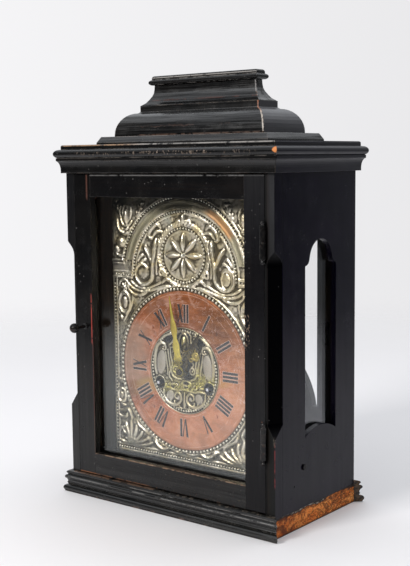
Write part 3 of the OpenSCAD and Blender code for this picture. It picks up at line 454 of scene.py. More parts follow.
def copper_ring():
    m = Mat("copper_chapter_ring", Metallic=0.35, IOR=1.45)
    m.b.inputs["Specular IOR Level"].default_value = 0.32
    zc = m.sub(m.z, 160.5)
    r = m.op("SQRT", m.add(m.mul(m.x, m.x), m.mul(zc, zc)))
    n = m.noise(0.030, 5, 0.62, m.scaled(1, 1, 1.25), 0.6)
    s = m.noise(0.09, 5, 0.66, m.scaled(0.35, 1, 1.6, 3, 5, 7), 0.4)
    f = m.noise(0.7, 3, 0.6)
    t = m.add(m.mul(n, 0.55), m.mul(s, 0.45))
    col = m.ramp(t, [(0.36, (0.21, 0.055, 0.016)), (0.45, (0.37, 0.105, 0.034)), (0.52, (0.48, 0.155, 0.060)), (0.58, (0.52, 0.200, 0.105)), (0.68, (0.62, 0.27, 0.13))])
    wob = m.mul(m.sub(m.noise(0.022, 4, 0.6, m.scaled(1, 1, 1, 4, 4, 9)), 0.5), 90.0)
    # darker red-brown at the top and upper right, greyish pink low down, dull brown at the left
    top = m.step(m.add(m.mul(m.x, 0.35), zc, wob), 0.0, 70.0)
    col = m.mix(m.mul(top, 0.72), col, m.mix(m.step(s, 0.42, 0.60), (0.20, 0.062, 0.015), (0.33, 0.110, 0.032)))
    low = m.step(m.add(m.mul(m.x, 0.30), m.mul(zc, -1.0), wob), 0.0, 80.0)
    pink = m.mix(m.step(n, 0.40, 0.62), (0.50, 0.22, 0.145), (0.60, 0.27, 0.145))
    col = m.mix(m.mul(low, 0.55), col, pink)
    left = m.mul(m.step(m.add(m.x, m.mul(wob, 0.4)), -45.0, -80.0), m.step(m.op("ABSOLUTE", m.add(zc, 8.0)), 48.0, 20.0))
    col = m.mix(m.mul(left, 0.50), col, (0.25, 0.115, 0.060))
    grey = m.step(m.noise(0.055, 4, 0.62, m.scaled(1, 1, 1, 9, 4, 2)), 0.52, 0.64)
    col = m.mix(m.mul(grey, 0.45), col, (0.34, 0.22, 0.185))
    dark = m.step(m.noise(0.10, 5, 0.7, m.scaled(1, 1, 1, 2, 8, 3)), 0.60, 0.70)
    col = m.mix(m.mul(dark, 0.50), col, (0.12, 0.035, 0.018))
    glow = m.step(m.noise(0.07, 5, 0.7, m.scaled(0.6, 1, 1.4, 12, 3, 6)), 0.60, 0.70)
    col = m.mix(m.mul(glow, 0.5, m.sub(1.0, m.mul(top, 0.6))), col, (0.70, 0.24, 0.085))
    # brown over the upper right, and a painted reflection: a gold-brown band across the left and the right
    mot = m.noise(0.055, 6, 0.72, m.scaled(1, 1, 1, 9, 0, 4), 0.8)
    col = m.mix(m.mul(m.step(mot, 0.50, 0.62), 0.55), col, (0.26, 0.100, 0.042))
    col = m.mix(m.mul(m.step(mot, 0.48, 0.38), 0.45), col, (0.66, 0.38, 0.28))
    d1 = m.op("SQRT", m.add(m.mul(m.sub(m.x, 50.0), m.sub(m.x, 50.0)), m.mul(m.sub(m.z, 216.0), m.sub(m.z, 216.0))))
    col = m.mix(m.mul(m.step(m.add(d1, m.mul(wob, 0.25)), 34.0, 14.0), 0.75), col, m.mix(m.step(s, 0.42, 0.58), (0.16, 0.052, 0.013), (0.27, 0.100, 0.028)))
    col = m.mix(m.mul(m.step(m.add(m.mul(m.x, 0.5), m.mul(zc, -1.0), m.mul(wob, 0.3)), 24.0, 80.0), 0.35), col, (0.78, 0.36, 0.20))
    dusk = m.mul(m.step(m.add(m.x, m.mul(wob, 0.3)), -40.0, -70.0), m.within(m.z, 146.0, 206.0, 12.0), m.add(0.30, m.mul(n, 0.6)))
    col = m.mix(dusk, col, (0.42, 0.285, 0.205))
    col = m.mix(m.mul(m.step(m.add(m.x, m.mul(wob, 0.3)), 46.0, 76.0), m.within(m.z, 130.0, 190.0, 12.0), m.add(0.10, m.mul(s, 0.4))), col, (0.70, 0.33, 0.160))
    crackle = m.mx(m.near(m.noise(0.040, 3, 0.55, m.scaled(1, 1, 1, 5, 2, 8), 0.6), 0.50, 0.0012, 0.003), m.near(m.noise(0.050, 3, 0.55, m.scaled(1, 1, 1, 1, 6, 3), 0.8), 0.46, 0.0012, 0.003))
    col = m.mix(m.mul(crackle, m.step(m.add(m.x, zc), 10.0, 50.0), m.step(m.noise(0.10, 3, 0.6), 0.40, 0.52), 0.6), col, (0.74, 0.58, 0.52))
    # painted reflection: a gold-brown band across the ring on the left, and a yellow one on the right
    d2 = m.op("ABSOLUTE", m.sub(m.z, m.add(152.0, m.mul(m.x, 0.27))))
    ring_reflection_band = m.mul(m.step(m.add(d2, m.mul(wob, 0.10)), 12.0, 6.0), m.step(m.x, -40.0, -48.0))
    col = m.mix(m.mul(ring_reflection_band, m.add(0.30, m.mul(n, 0.5))), col, m.mix(m.step(m.x, -84.0, -60.0), (0.20, 0.100, 0.048), (0.42, 0.29, 0.075)))
    d3 = m.op("ABSOLUTE", m.sub(m.z, m.add(141.0, m.mul(m.x, 0.2))))
    col = m.mix(m.mul(m.step(d3, 7.0, 3.0), m.step(m.x, 48.0, 52.0), m.step(m.x, 76.0, 58.0), 0.55), col, (0.50, 0.26, 0.05))
    line = m.mx(m.near(r, 53.6, 0.22, 0.3), m.near(r, 80.6, 0.10, 0.3), m.near(r, 89.6, 0.15, 0.3))
    col = m.mix(m.mul(line, m.step(s, 0.42, 0.55), 0.55), col, (0.80, 0.56, 0.45))
    scratch = m.step(m.noise(0.9, 2, 0.5, m.scaled(0.10, 1, 0.8, 1, 1, 1)), 0.70, 0.78)
    col = m.mix(m.mul(scratch, 0.45), col, (0.74, 0.50, 0.42))
    rough = m.add(0.38, m.mul(s, 0.18), m.mul(grey, 0.12))
    return m.finish(col, rough, m.bump(m.add(m.mul(f, 0.3), m.mul(n, 1.0), m.mul(line, -0.6), m.mul(s, 0.6)), 0.35, 0.18))


def enamel(name, c0, c1, rough):
    m = Mat(name, IOR=1.5)
    n = m.noise(0.5, 4, 0.65)
    return m.finish(m.mix(m.step(n, 0.42, 0.68), c0, c1), m.add(rough, m.mul(n, 0.2)), m.bump(n, 0.3, 0.06))


def paper():
    """Pale studio paper that fades into the background at its rim."""
    m = Mat("studio_paper", IOR=1.3)
    n = m.noise(0.004, 3, 0.5)
    r = m.op("SQRT", m.add(m.mul(m.x, m.x), m.mul(m.y, m.y)))
    return m.finish(m.mix(n, (0.85, 0.832, 0.840), (0.88, 0.862, 0.868)), 0.85, m.bump(m.noise(0.8, 2), 0.05, 0.05), None, m.step(r, 2050.0, 560.0))


# wear, painted highlights, painted sheen and painted shade that the photograph shows in named places
def door_bottom(m):
    under = m.mul(m.step(m.z, 28.2, 27.2), streaky(m, "x", -139, -30, 0.42, 0.52, 0.12, 2.0))
    under2 = m.mul(m.step(m.z, 28.0, 27.3), streaky(m, "x", -30, 112, 0.55, 0.62, 0.16, 5.0))
    inner = m.mul(m.step(m.z, 51.4, 52.2), m.step(m.y, -79.0, -80.4), streaky(m, "x", -116, 112, 0.40, 0.56, 0.14, 4.0))
    return [(m.mul(inner, 0.8), m.mix(m.noise(0.2, 4, 0.7), (0.13, 0.060, 0.030), (0.40, 0.29, 0.20))), (m.mul(under, 0.6), m.mix(m.noise(0.15, 4, 0.7), (0.10, 0.040, 0.020), (0.30, 0.14, 0.07))), (m.mul(under2, 0.6), (0.18, 0.09, 0.045))]


def door_left(m):
    a = m.mul(m.near(m.x, -113.4, 0.45, 0.5), m.step(m.y, -81.2, -81.7), streaky(m, "z", 190, 242, 0.36, 0.46, 0.12, 3.0))
    b = m.mul(m.near(m.x, -117.0, 0.8, 0.8), streaky(m, "z", 362, 386, 0.35, 0.5, 0.2, 1.0))
    c = m.mul(m.step(m.z, 28.2, 27.2), streaky(m, "x", -141, -112, 0.30, 0.4, 0.1, 8.0))
    a2 = m.mul(m.near(m.x, -112.2, 0.35, 0.4), m.step(m.y, -81.2, -81.7), m.mx(streaky(m, "z", 84, 188, 0.34, 0.46, 0.07, 5.0), m.mul(streaky(m, "z", 54, 84, 0.34, 0.46, 0.09, 2.0), 0.8)))
    outer = m.mul(m.step(m.x, -138.8, -139.3), m.step(m.y, -80.0, -81.5), streaky(m, "z", 110, 215, 0.46, 0.56, 0.10, 9.0))
    inside = m.mul(m.step(m.x, -112.2, -111.7), m.step(m.y, -80.8, -80.0))
    return [(inside, (0.0022, 0.0021, 0.0022)), (m.mul(a2, 0.42), m.mix(m.step(m.z, 84.0, 110.0), (0.10, 0.055, 0.035), (0.11, 0.026, 0.018))), (m.mul(outer, 0.5), (0.07, 0.032, 0.020)), (m.mul(a, 0.9), (0.34, 0.040, 0.026)), (m.mul(b, 0.6), (0.12, 0.045, 0.03)), (m.mul(c, 0.7), (0.30, 0.12, 0.05))]


# the chamfer's face and its stops: side_right paints them nearly black as the shade they lie in, and they lose their
# gloss
def chamfer_right(m):
    plane = m.near(m.sub(m.sub(m.x, 140.0), m.mul(m.add(m.y, 82.0), 0.645)), 0.0, 0.45, 0.35)
    stop = m.mul(m.within(m.x, 140.6, 149.6, 0.3), m.within(m.y, -81.6, -66.8, 0.3), m.mx(m.mul(m.within(m.z, 291.0, 312.0, 1.5), m.step(m.z, 311.0, 291.0)), m.mul(m.within(m.z, 104.0, 124.0, 1.5), m.step(m.z, 104.0, 124.0))), 1.08)
    return m.mx(m.mul(plane, m.step(m.x, 140.4, 141.0), m.step(m.y, -66.8, -67.4)), stop)


# the faces of the chamfer stops, painted nearly black as shade
def stop_faces_shade(m):
    return m.mul(m.within(m.x, 140.3, 149.8, 0.15), m.within(m.y, -81.8, -66.8, 0.15), m.mx(m.within(m.z, 291.0, 312.0, 1.5), m.within(m.z, 104.0, 124.0, 1.5)), 0.9)


def side_right(m):
    edge = m.mul(m.step(m.x, 148.9, 149.5), m.step(m.y, -80.9, -81.5))
    red = m.mul(edge, streaky(m, "z", 60, 101, 0.42, 0.54, 0.16, 6.0))
    top = m.mul(m.near(m.z, 106.0, 3.0, 3.0), m.step(m.x, 147.5, 149.0), m.step(m.y, -79.0, -81.0), m.step(m.noise(0.9, 3), 0.50, 0.66))
    # painted sheen: the front edge face lightened to grey, more so from z 232 up, with streaks along it
    front_sheen_strip = m.mul(m.step(m.y, -81.6, -81.9), m.add(0.62, m.mul(m.step(m.noise(0.5, 5, 0.7, m.scaled(1, 1, 0.08)), 0.30, 0.62), 0.38)), m.step(m.z, 232.0, 372.0), m.sub(1.0, m.step(m.x, 149.9, 150.2)))
    # painted shade: the front face blackened beside the door's gap
    gap_shade = m.mul(m.step(m.y, -81.4, -81.8), m.step(m.x, 140.6, 140.0))
    hole = m.op("SQRT", m.add(m.mul(m.add(m.y, 45.1), m.add(m.y, 45.1)), m.mul(m.sub(m.z, 49.2), m.sub(m.z, 49.2))))
    dot = m.mul(m.step(hole, 1.3, 0.8), m.step(m.x, 148.0, 149.0))
    # on the front edge face a painted sheen; the stop faces, the edge by the door's gap and the chamfer painted nearly
    # black as shade
    return [(m.step(m.y, -81.5, -81.9), (0.0065, 0.0068, 0.0066)), (m.mul(front_sheen_strip, 0.9), (0.024, 0.024, 0.027)), (stop_faces_shade(m), (0.0010, 0.0010, 0.0015)),
            (m.step(m.x, 146.0, 138.4), m.mix(m.noise(0.4, 4, 0.6, m.scaled(1, 1, 0.05)), (0.004, 0.003, 0.0025), (0.016, 0.010, 0.007))), (gap_shade, (0.001, 0.001, 0.001)), (chamfer_right(m), (0.0007, 0.0007, 0.0010)),
            (m.mul(red, 0.75), (0.20, 0.032, 0.034)), (m.mul(top, 0.6), (0.30, 0.25, 0.20)), (dot, (0.002, 0.002, 0.002))]


def stile_right(m):
    scar = m.mul(m.step(m.y, -81.0, -81.8), m.within(m.x, 111.5, 117.5, 1.5), m.within(m.z, 203.0, 237.0, 5.0), m.step(m.noise(0.45, 4, 0.7, m.scaled(1, 1, 0.5)), 0.54, 0.62))
    haze = m.mul(m.step(m.y, -81.0, -81.8), m.step(m.z, 262.0, 380.0), m.add(0.45, m.mul(m.noise(0.6, 5, 0.7, m.scaled(1, 1, 0.12)), 0.5)))
    # painted highlight along the stile's right-hand edge
    edge = m.mul(m.step(m.y, -81.2, -81.8), m.near(m.x, 138.6, 0.5, 0.5), m.step(m.noise(0.06, 4, 0.7), 0.36, 0.50))
    foot = m.mul(m.step(m.y, -81.0, -81.8), m.near(m.x, 133.5, 0.5, 0.7), streaky(m, "z", 84, 122, 0.44, 0.56, 0.2, 3.0))
    # pale line along the top edge: worn polish, and a painted highlight
    line = m.mul(m.step(m.y, -81.0, -81.8), m.near(m.z, 386.4, 0.5, 0.5), m.step(m.noise(0.05, 4, 0.7), 0.30, 0.44))
    flecks = m.mul(m.step(m.y, -81.0, -81.8), m.within(m.z, 290.0, 350.0, 10.0), m.step(m.voronoi(0.20, m.scaled(1, 1, 0.45, 4, 1, 2)), 0.10, 0.05), m.step(m.noise(0.06, 3, 0.6), 0.46, 0.54))
    return [(m.mul(line, 0.8), (0.15, 0.145, 0.14)), (m.mul(flecks, 0.6), (0.30, 0.29, 0.28)), (m.mul(haze, 0.9), (0.009, 0.009, 0.0105)), (m.mul(scar, 0.7), (0.34, 0.24, 0.17)), (m.mul(edge, 0.7), (0.060, 0.058, 0.058)), (m.mul(foot, 0.7), (0.26, 0.11, 0.06))]


def rail_top(m):
    # pale line along the rail's upper edge: worn polish, and a painted highlight
    line = m.mul(m.step(m.y, -81.0, -81.8), m.near(m.z, 386.4, 0.5, 0.5), m.step(m.noise(0.05, 4, 0.7), 0.34, 0.48))
    return [(m.mul(line, 0.8), (0.15, 0.145, 0.14))]


def cavetto_foot(m):
    return m.mul(m.step(m.z, 482.0, 476.0), 0.55)


def base_front(m):
    top = m.mul(m.step(m.z, 24.7, 25.3), streaky(m, "x", -156, -20, 0.42, 0.54, 0.14, 1.0))
    top2 = m.mul(m.step(m.z, 24.6, 25.3), streaky(m, "x", -20, 150, 0.50, 0.60, 0.22, 3.0))
    # pale lines along the lip and the fillet: scratches in the polish, and a painted highlight
    lip = m.mul(m.near(m.z, 18.6, 0.3, 0.35), streaky(m, "x", -156, 150, 0.42, 0.54, 0.045, 5.0))
    lip2 = m.mul(m.near(m.z, 22.0, 0.3, 0.35), m.mx(streaky(m, "x", -50, 10, 0.44, 0.54, 0.06, 15.0), streaky(m, "x", 60, 150, 0.38, 0.50, 0.05, 11.0)))
    foot = m.mul(m.step(m.z, 3.0, 1.2), streaky(m, "x", -120, 60, 0.54, 0.60, 0.12, 9.0))
    return [(m.mul(top, 0.55), m.mix(m.noise(0.15, 4, 0.7), (0.07, 0.035, 0.020), (0.26, 0.15, 0.09))), (m.mul(top2, 0.45), (0.14, 0.11, 0.085)), (m.mul(lip, 0.45), (0.26, 0.25, 0.24)), (m.mul(lip2, 0.8), (0.34, 0.33, 0.32)),
            (m.mul(foot, 0.6), (0.12, 0.06, 0.035))]


def back_end(m):
    end = m.mul(m.step(m.x, 148.8, 149.6), m.step(m.noise(0.20, 4, 0.65), 0.36, 0.56))
    rounded, sharp = m.edges(1.2)
    tone = m.mix(m.mul(m.step(m.noise(0.30, 4, 0.65), 0.36, 0.52), m.sub(1.0, m.mul(m.step(sharp, 0.02, 0.10), 0.9))), (0.004, 0.0025, 0.0015), (0.13, 0.078, 0.040))
    rim = m.mul(m.step(m.z, 24.6, 25.4), m.step(m.x, 120.0, 150.0), m.step(m.noise(0.25, 3), 0.42, 0.55))
    return [(m.mul(end, 0.9), tone), (m.mul(rim, 0.5), (0.20, 0.11, 0.05))]


def cornice(m):
    # pale lines along the edges of the cap, the cornice's top and the fillet below it: worn polish, and a painted
    # highlight
    cap = m.mul(m.near(m.z, 500.4, 0.4, 0.4), m.step(m.y, -6.8, -7.6), streaky(m, "x", -76, 80, 0.36, 0.50, 0.05, 9.0))
    cap2 = m.mul(m.near(m.z, 498.2, 0.25, 0.35), m.step(m.y, -7.6, -8.1), streaky(m, "x", -76, 80, 0.42, 0.56, 0.05, 2.0))
    cap3 = m.mul(m.near(m.z, 492.2, 0.3, 0.4), m.step(m.y, -8.6, -9.2), streaky(m, "x", -76, 80, 0.46, 0.58, 0.06, 5.0))
    chips = m.mul(m.near(m.z, 411.8, 1.5, 1.2), m.step(m.y, -88.0, -89.5), streaky(m, "x", -8, 70, 0.56, 0.61, 0.40, 2.0), m.step(m.noise(0.5, 3), 0.47, 0.52))
    faint = m.mul(m.near(m.z, 411.5, 1.2, 1.2), m.step(m.y, -88.0, -89.5), streaky(m, "x", -120, 130, 0.55, 0.60, 0.3, 6.0))
    line = m.mul(m.near(m.z, 421.2, 0.5, 0.4), m.step(m.y, -84.2, -84.8), streaky(m, "x", -150, 155, 0.36, 0.52, 0.05, 4.0))
    under = m.mul(m.near(m.z, 406.9, 0.25, 0.35), m.step(m.y, -85.0, -87.0), streaky(m, "x", -150, 155, 0.42, 0.56, 0.05, 8.0))
    dx, dz = m.sub(m.x, 158.0), m.sub(m.z, 412.7)
    d = m.op("SQRT", m.add(m.mul(dx, dx), m.mul(dz, dz)))
    chip = m.mul(m.step(m.add(d, m.mul(m.noise(0.6, 3), 3.5)), 5.2, 4.0), m.step(m.y, -86.0, -88.0))
    dz2 = m.sub(m.z, 420.6)
    d2 = m.op("SQRT", m.add(m.mul(dx, dx), m.mul(dz2, dz2)))
    chip = m.mx(chip, m.mul(m.step(m.add(d2, m.mul(m.noise(0.6, 3), 2.0)), 3.2, 2.4), m.step(m.y, -86.0, -88.0)))
    return [(m.mul(line, 0.85), m.mix(m.step(m.x, -60.0, -20.0), (0.32, 0.19, 0.10), (0.30, 0.28, 0.26))), (m.mul(under, 0.35), (0.22, 0.20, 0.18)), (m.mul(cap, 0.8), (0.34, 0.32, 0.30)), (m.mul(m.mx(cap2, cap3), 0.6), (0.28, 0.26, 0.24)), (m.mul(chips, 0.9), m.mix(m.noise(0.3, 2), (0.16, 0.10, 0.07), (0.46, 0.36, 0.29))), (m.mul(faint, 0.7), (0.16, 0.12, 0.09)), (chip, (0.66, 0.23, 0.06))]


def ovolo_wear_and_highlight(m):
    foot = m.mul(m.near(m.z, 432.6, 0.5, 0.6), m.step(m.y, -38.0, -40.0), streaky(m, "x", -70, 105, 0.42, 0.54, 0.12, 2.0))
    # the right-front mitre: pale low down, a painted highlight over worn polish, and worn to orange wood higher up
    mitre = m.mul(m.near(m.add(m.x, m.y), 67.2, 0.9, 0.8), m.step(m.x, 60.0, 70.0), m.within(m.z, 434.5, 470.0, 2.0), m.step(m.noise(0.30, 4, 0.7), 0.36, 0.50))
    tone = m.mix(m.step(m.z, 452.0, 460.0), (0.62, 0.54, 0.46), (0.36, 0.12, 0.045))
    crack = m.mul(m.near(m.add(m.z, m.mul(m.noise(0.05, 4, 0.7), 9.0)), 447.0, 0.4, 0.5), m.within(m.x, -70.0, 60.0, 8.0), m.step(m.noise(0.04, 4, 0.7), 0.44, 0.54))
    return [(m.mul(crack, 0.3), (0.10, 0.050, 0.035)), (m.mul(foot, 0.5), m.mix(m.noise(0.12, 3), (0.10, 0.040, 0.025), (0.22, 0.15, 0.11))), (m.mul(mitre, 0.85), tone)]


def step_wear_and_highlight(m):
    # pale lines along the step board's edges: worn polish, and a painted highlight
    low = m.mul(m.near(m.z, 424.6, 0.12, 0.25), m.step(m.y, -54.6, -55.4), streaky(m, "x", -118, 122, 0.36, 0.52, 0.05, 3.0))
    top = m.mul(m.near(m.z, 431.1, 0.2, 0.3), m.step(m.y, -50.6, -51.6), streaky(m, "x", -110, 118, 0.42, 0.56, 0.06, 6.0))
    return [(m.mul(low, 0.35), (0.22, 0.20, 0.18)), (m.mul(top, 0.4), (0.20, 0.16, 0.13))]


def cavetto_wear_and_highlight(m):
    line = m.mul(m.near(m.z, 474.2, 0.8, 0.8), m.step(m.y, -10.0, -14.0), streaky(m, "x", -70, 80, 0.42, 0.55, 0.05, 7.0))
    # the mitre: worn to orange wood at its foot, and above that pale, a painted highlight over worn polish
    mitre = m.mul(m.near(m.add(m.x, m.y), 68.0, 1.1, 0.7), m.step(m.x, 50.0, 60.0), m.within(m.z, 474.0, 494.0, 1.0), m.step(m.noise(0.26, 4, 0.7), 0.40, 0.54))
    return [(m.mul(line, 0.8), (0.17, 0.050, 0.030)), (m.mul(mitre, 0.8), m.mix(m.step(m.z, 476.0, 479.0), (0.60, 0.34, 0.20), (0.30, 0.28, 0.27)))]


EB = {}
EB["front"] = ebony("ebonised_upright", "z", 0.35, base=(0.0026, 0.0025, 0.0034), gloss=0.17, spots=stile_right, scuff=1.0, seed=1, sheen=0.25, relief=0.10, spec=0.20, rub_glint=0.30)
EB["rail"] = ebony("ebonised_rail", "x", 0.45, base=(0.0030, 0.0029, 0.0033), gloss=0.19, spots=rail_top, scuff=1.0, seed=2, sheen=0.22, relief=0.08, spec=0.36, rub_glint=0.30)
EB["rail_bottom"] = ebony("ebonised_rail_bottom", "x", 0.5, spots=door_bottom, scuff=0.5, seed=3, sheen=0.35, relief=0.12, spec=0.38)
EB["stile_left"] = ebony("ebonised_stile_left", "z", 0.4, gloss=0.19, spots=door_left, scuff=1.0, seed=4, sheen=0.25, relief=0.10, spec=0.32, rub_glint=0.30)
EB["side"] = ebony("ebonised_side", "z", 0.25, base=(0.0030, 0.0022, 0.0082), brown=0.05, gloss=0.17, scuff=0.35, spots=side_right, seed=5, sheen=0.14, relief=0.05, spec=0.15, rub_glint=0.12, dull=chamfer_right)
EB["side_l"] = ebony("ebonised_side_left", "z", 0.35, base=(0.0029, 0.0028, 0.0034), brown=0.3, gloss=0.28, scuff=0.6, seed=6, sheen=0.3, relief=0.12)
EB["base"] = ebony("ebonised_base_front", "x", 0.3, base=(0.0036, 0.0038, 0.0037), brown=0.2, spots=base_front, gloss=0.19, scuff=0.25, seed=7, sheen=0.45, relief=0.05, spec=0.72, arris=0.6, rub_glint=0.6)
EB["base_side"] = ebony("ebonised_base_side", "y", 0.7, scuff=0.6, seed=8, sheen=0.5, relief=0.2)
EB["cornice"] = ebony("ebonised_cornice_front", "x", 0.6, base=(0.0032, 0.0032, 0.0034), spots=cornice, gloss=0.20, scuff=0.9, seed=9, sheen=0.6, relief=0.2, spec=0.38, arris=1.3, rub_glint=0.85)
def cornice_top(m):
    """Dust on the flat top of the cornice, which takes its gloss away."""
    return m.within(m.z, 421.3, 422.4, 0.3)


EB["cornice_s"] = ebony("ebonised_cornice_side", "y", 0.3, base=(0.0030, 0.0022, 0.0075), brown=0.1, gloss=0.26, scuff=0.3, seed=10, sheen=0.3, relief=0.12, spec=0.32, dull=cornice_top)
EB["step"] = ebony("ebonised_step", "round", 0.6, spots=step_wear_and_highlight, gloss=0.22, scuff=0.6, seed=11, sheen=1.1, relief=0.3, spec=0.76, arris=1.3, rub_glint=0.85)
EB["ovolo"] = ebony("ebonised_ovolo", "x", 0.8, base=(0.0042, 0.0043, 0.0046), spots=ovolo_wear_and_highlight, gloss=0.20, scuff=0.5, seed=12, sheen=1.7, relief=0.45, spec=0.72, arris=1.3, rub_glint=0.85)
# the ovolo's sides: a lighter bluish grey painted into the colour as sheen
EB["ovolo_s"] = ebony("ebonised_ovolo_side_painted_sheen", "y", 0.6, base=(0.0120, 0.0108, 0.0180), brown=0.1, gloss=0.28, scuff=0.3, seed=13, sheen=0.30, relief=0.15, spec=1.0)
EB["cavetto"] = ebony("ebonised_cavetto", "x", 0.7, base=(0.0041, 0.0043, 0.0049), spots=cavetto_wear_and_highlight, gloss=0.20, scuff=0.5, seed=14, sheen=1.7, relief=0.45, spec=0.95, arris=1.3, rub_glint=0.85, dull=cavetto_foot)
EB["back_base"] = ebony("ebonised_base_back", "x", 0.8, spots=back_end, gloss=0.30, scuff=0.6, seed=16, sheen=0.4, relief=0.2)
EB["back"] = ebony("ebonised_back", "z", 0.5, brown=0.8, gloss=0.36, scuff=0.4, seed=15, sheen=0.4, relief=0.2, dull=cornice_top)
BARE, INNER = raw_wood(), inner_wood()
IRON, PEG = iron(), ebony("black_peg", "y", wear=0.1, gloss=0.16, spec=0.10, sheen=0.1, rub_glint=0.1)
PANE, SIDE_PANE = glass("door_glass", 0.014), glass("side_window_glass", 0.010, (0.84, 0.86, 0.94))
SILVER, SILVER_C, COPPER = silvered(), silvered("silvered_centre", True), copper_ring()
GILT = brass("gilt_hand", (0.80, 0.66, 0.13), (0.42, 0.30, 0.045), 0.26, 0.6, 1.0, spots=minute_tarnish)
GILT_DARK = brass("gilt_hand_tarnished", (0.46, 0.36, 0.10), (0.060, 0.045, 0.020), 0.28, 0.95, 1.0, spots=hour_hand_darkening)
# aged brass; where it shows at the middle in front of the dial it is painted near black, as the shade under the hands
BRASS = brass("aged_brass", (0.55, 0.38, 0.14), (0.19, 0.115, 0.045), 0.32, 0.7,
              spots=lambda m: [(m.mul(m.step(m.y, -50.0, -52.0), m.step(centre_distance(m), 6.0, 4.0), 0.93), (0.022, 0.018, 0.014))])
BELL = brass("bell_metal", (0.52, 0.40, 0.20), (0.20, 0.14, 0.07), 0.25, 0.5)
STEEL, SQUARE = steel(), winding_square()
# a very dark collet at the middle of the hands
DARK_STEEL = brass("dark_collet", (0.060, 0.046, 0.030), (0.018, 0.014, 0.012), 0.36, 0.9)
INK = enamel("numeral_black", (0.012, 0.013, 0.016), (0.055, 0.042, 0.038), 0.42)
OUTLINE = enamel("numeral_outline", (0.74, 0.52, 0.42), (0.50, 0.27, 0.19), 0.4)
BLACK_LACQUER = enamel("black_ground", (0.004, 0.004, 0.005), (0.014, 0.014, 0.014), 0.16)

DRESS = {
    "plinth_board": BARE, "base_moulding_front": EB["base"], "base_moulding_left": EB["base_side"], "base_moulding_back": EB["back_base"],
    "side_panel_left": EB["side_l"], "side_panel_right": EB["side"], "side_glass_left": SIDE_PANE, "side_glass_right": SIDE_PANE,
    "carcass_top": INNER, "cornice_front": EB["cornice"], "cornice_back": EB["back"], "cornice_left": EB["cornice_s"], "cornice_right": EB["cornice_s"],
    "roof_step_board": EB["step"], "ovolo_front": EB["ovolo"], "ovolo_back": EB["back"], "ovolo_left": EB["ovolo_s"], "ovolo_right": EB["ovolo_s"],
    "roof_cavetto": EB["cavetto"], "roof_cap": EB["cornice"], "hinge_posts": IRON, "side_screw": PEG, "dial_board": INNER, "dial_rails": INNER,
    "dial_plate": SILVER, "chapter_ring": COPPER, "dial_centre": SILVER_C, "dial_feet": COPPER, "front_plate": BRASS, "back_plate": BRASS,
    "plate_pillars": BRASS, "bell": BELL, "bell_stand": STEEL, "pendulum_cock": BRASS, "door_stile_left": EB["stile_left"], "door_stile_right": EB["front"],
    "door_rail_top": EB["rail"], "door_rail_bottom": EB["rail_bottom"], "door_glass": PANE, "hinge_knuckles": IRON, "door_knob": IRON,
    "back_door": EB["back"], "back_latch": IRON, "minute_hand": GILT, "cannon_pinion": DARK_STEEL, "centre_wheel": BRASS, "hour_hand": GILT,
    "hour_wheel": BRASS, "minute_wheel": BRASS, "going_barrel": BRASS, "going_arbor": SQUARE, "third_wheel": BRASS, "escape_wheel": BRASS,
    "anchor": STEEL, "pendulum_rod": STEEL, "pendulum_bob": BELL, "strike_barrel": BRASS, "strike_arbor": SQUARE, "pin_wheel": BRASS, "hammer": STEEL,
}
for n, o in NODES.items():
    mat = DRESS[n]
    if not o.material_slots:
        o.data.materials.append(mat)
    for sl in o.material_slots:
        sl.material = mat

# ------------------------------------------------------------------ meshes


def mesh_piece(name, verts_mm, faces, mat, body, replaces=(), smooth=True, attrs=None, flat_faces=None):
    me = bpy.data.meshes.new(name)
    me.from_pydata([tuple(c * MM for c in v) for v in np.asarray(verts_mm, float).tolist()], [], [tuple(int(i) for i in f) for f in faces])
    me.validate()
    for k, v in (attrs or {}).items():
        a = me.attributes.new(k, "FLOAT", "POINT")
        a.data.foreach_set("value", np.asarray(v, np.float32))
    me.polygons.foreach_set("use_smooth", [smooth] * len(me.polygons))
    if flat_faces:
        for i in flat_faces:
            me.polygons[i].use_smooth = False
    me.materials.append(mat)
    o = bpy.data.objects.new(name, me)
    bpy.context.scene.collection.objects.link(o)
    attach(o, body)
    if replaces:
        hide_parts(*replaces)
    return o


YP = -46.5          # front of the dial plate's sheet
YB = -45.3          # its back
DZ = 160.5          # centre of the dial
RNG = np.random.RandomState(7)


def smooth_path(pts, n=10):
    """Catmull-Rom through rows of (x, z, width, height)."""
    p = np.array(pts, float)
    p = np.vstack([2 * p[0] - p[1], p, 2 * p[-1] - p[-2]])
    out = []
    for i in range(1, len(p) - 2):
        for t in np.linspace(0, 1, n, endpoint=False):
            a, b, c, d = p[i - 1], p[i], p[i + 1], p[i + 2]
            out.append(0.5 * (2 * b + (c - a) * t + (2 * a - 5 * b + 4 * c - d) * t * t + (3 * b - a - 3 * c + d) * t ** 3))
    out.append(p[-2])
    return np.array(out)


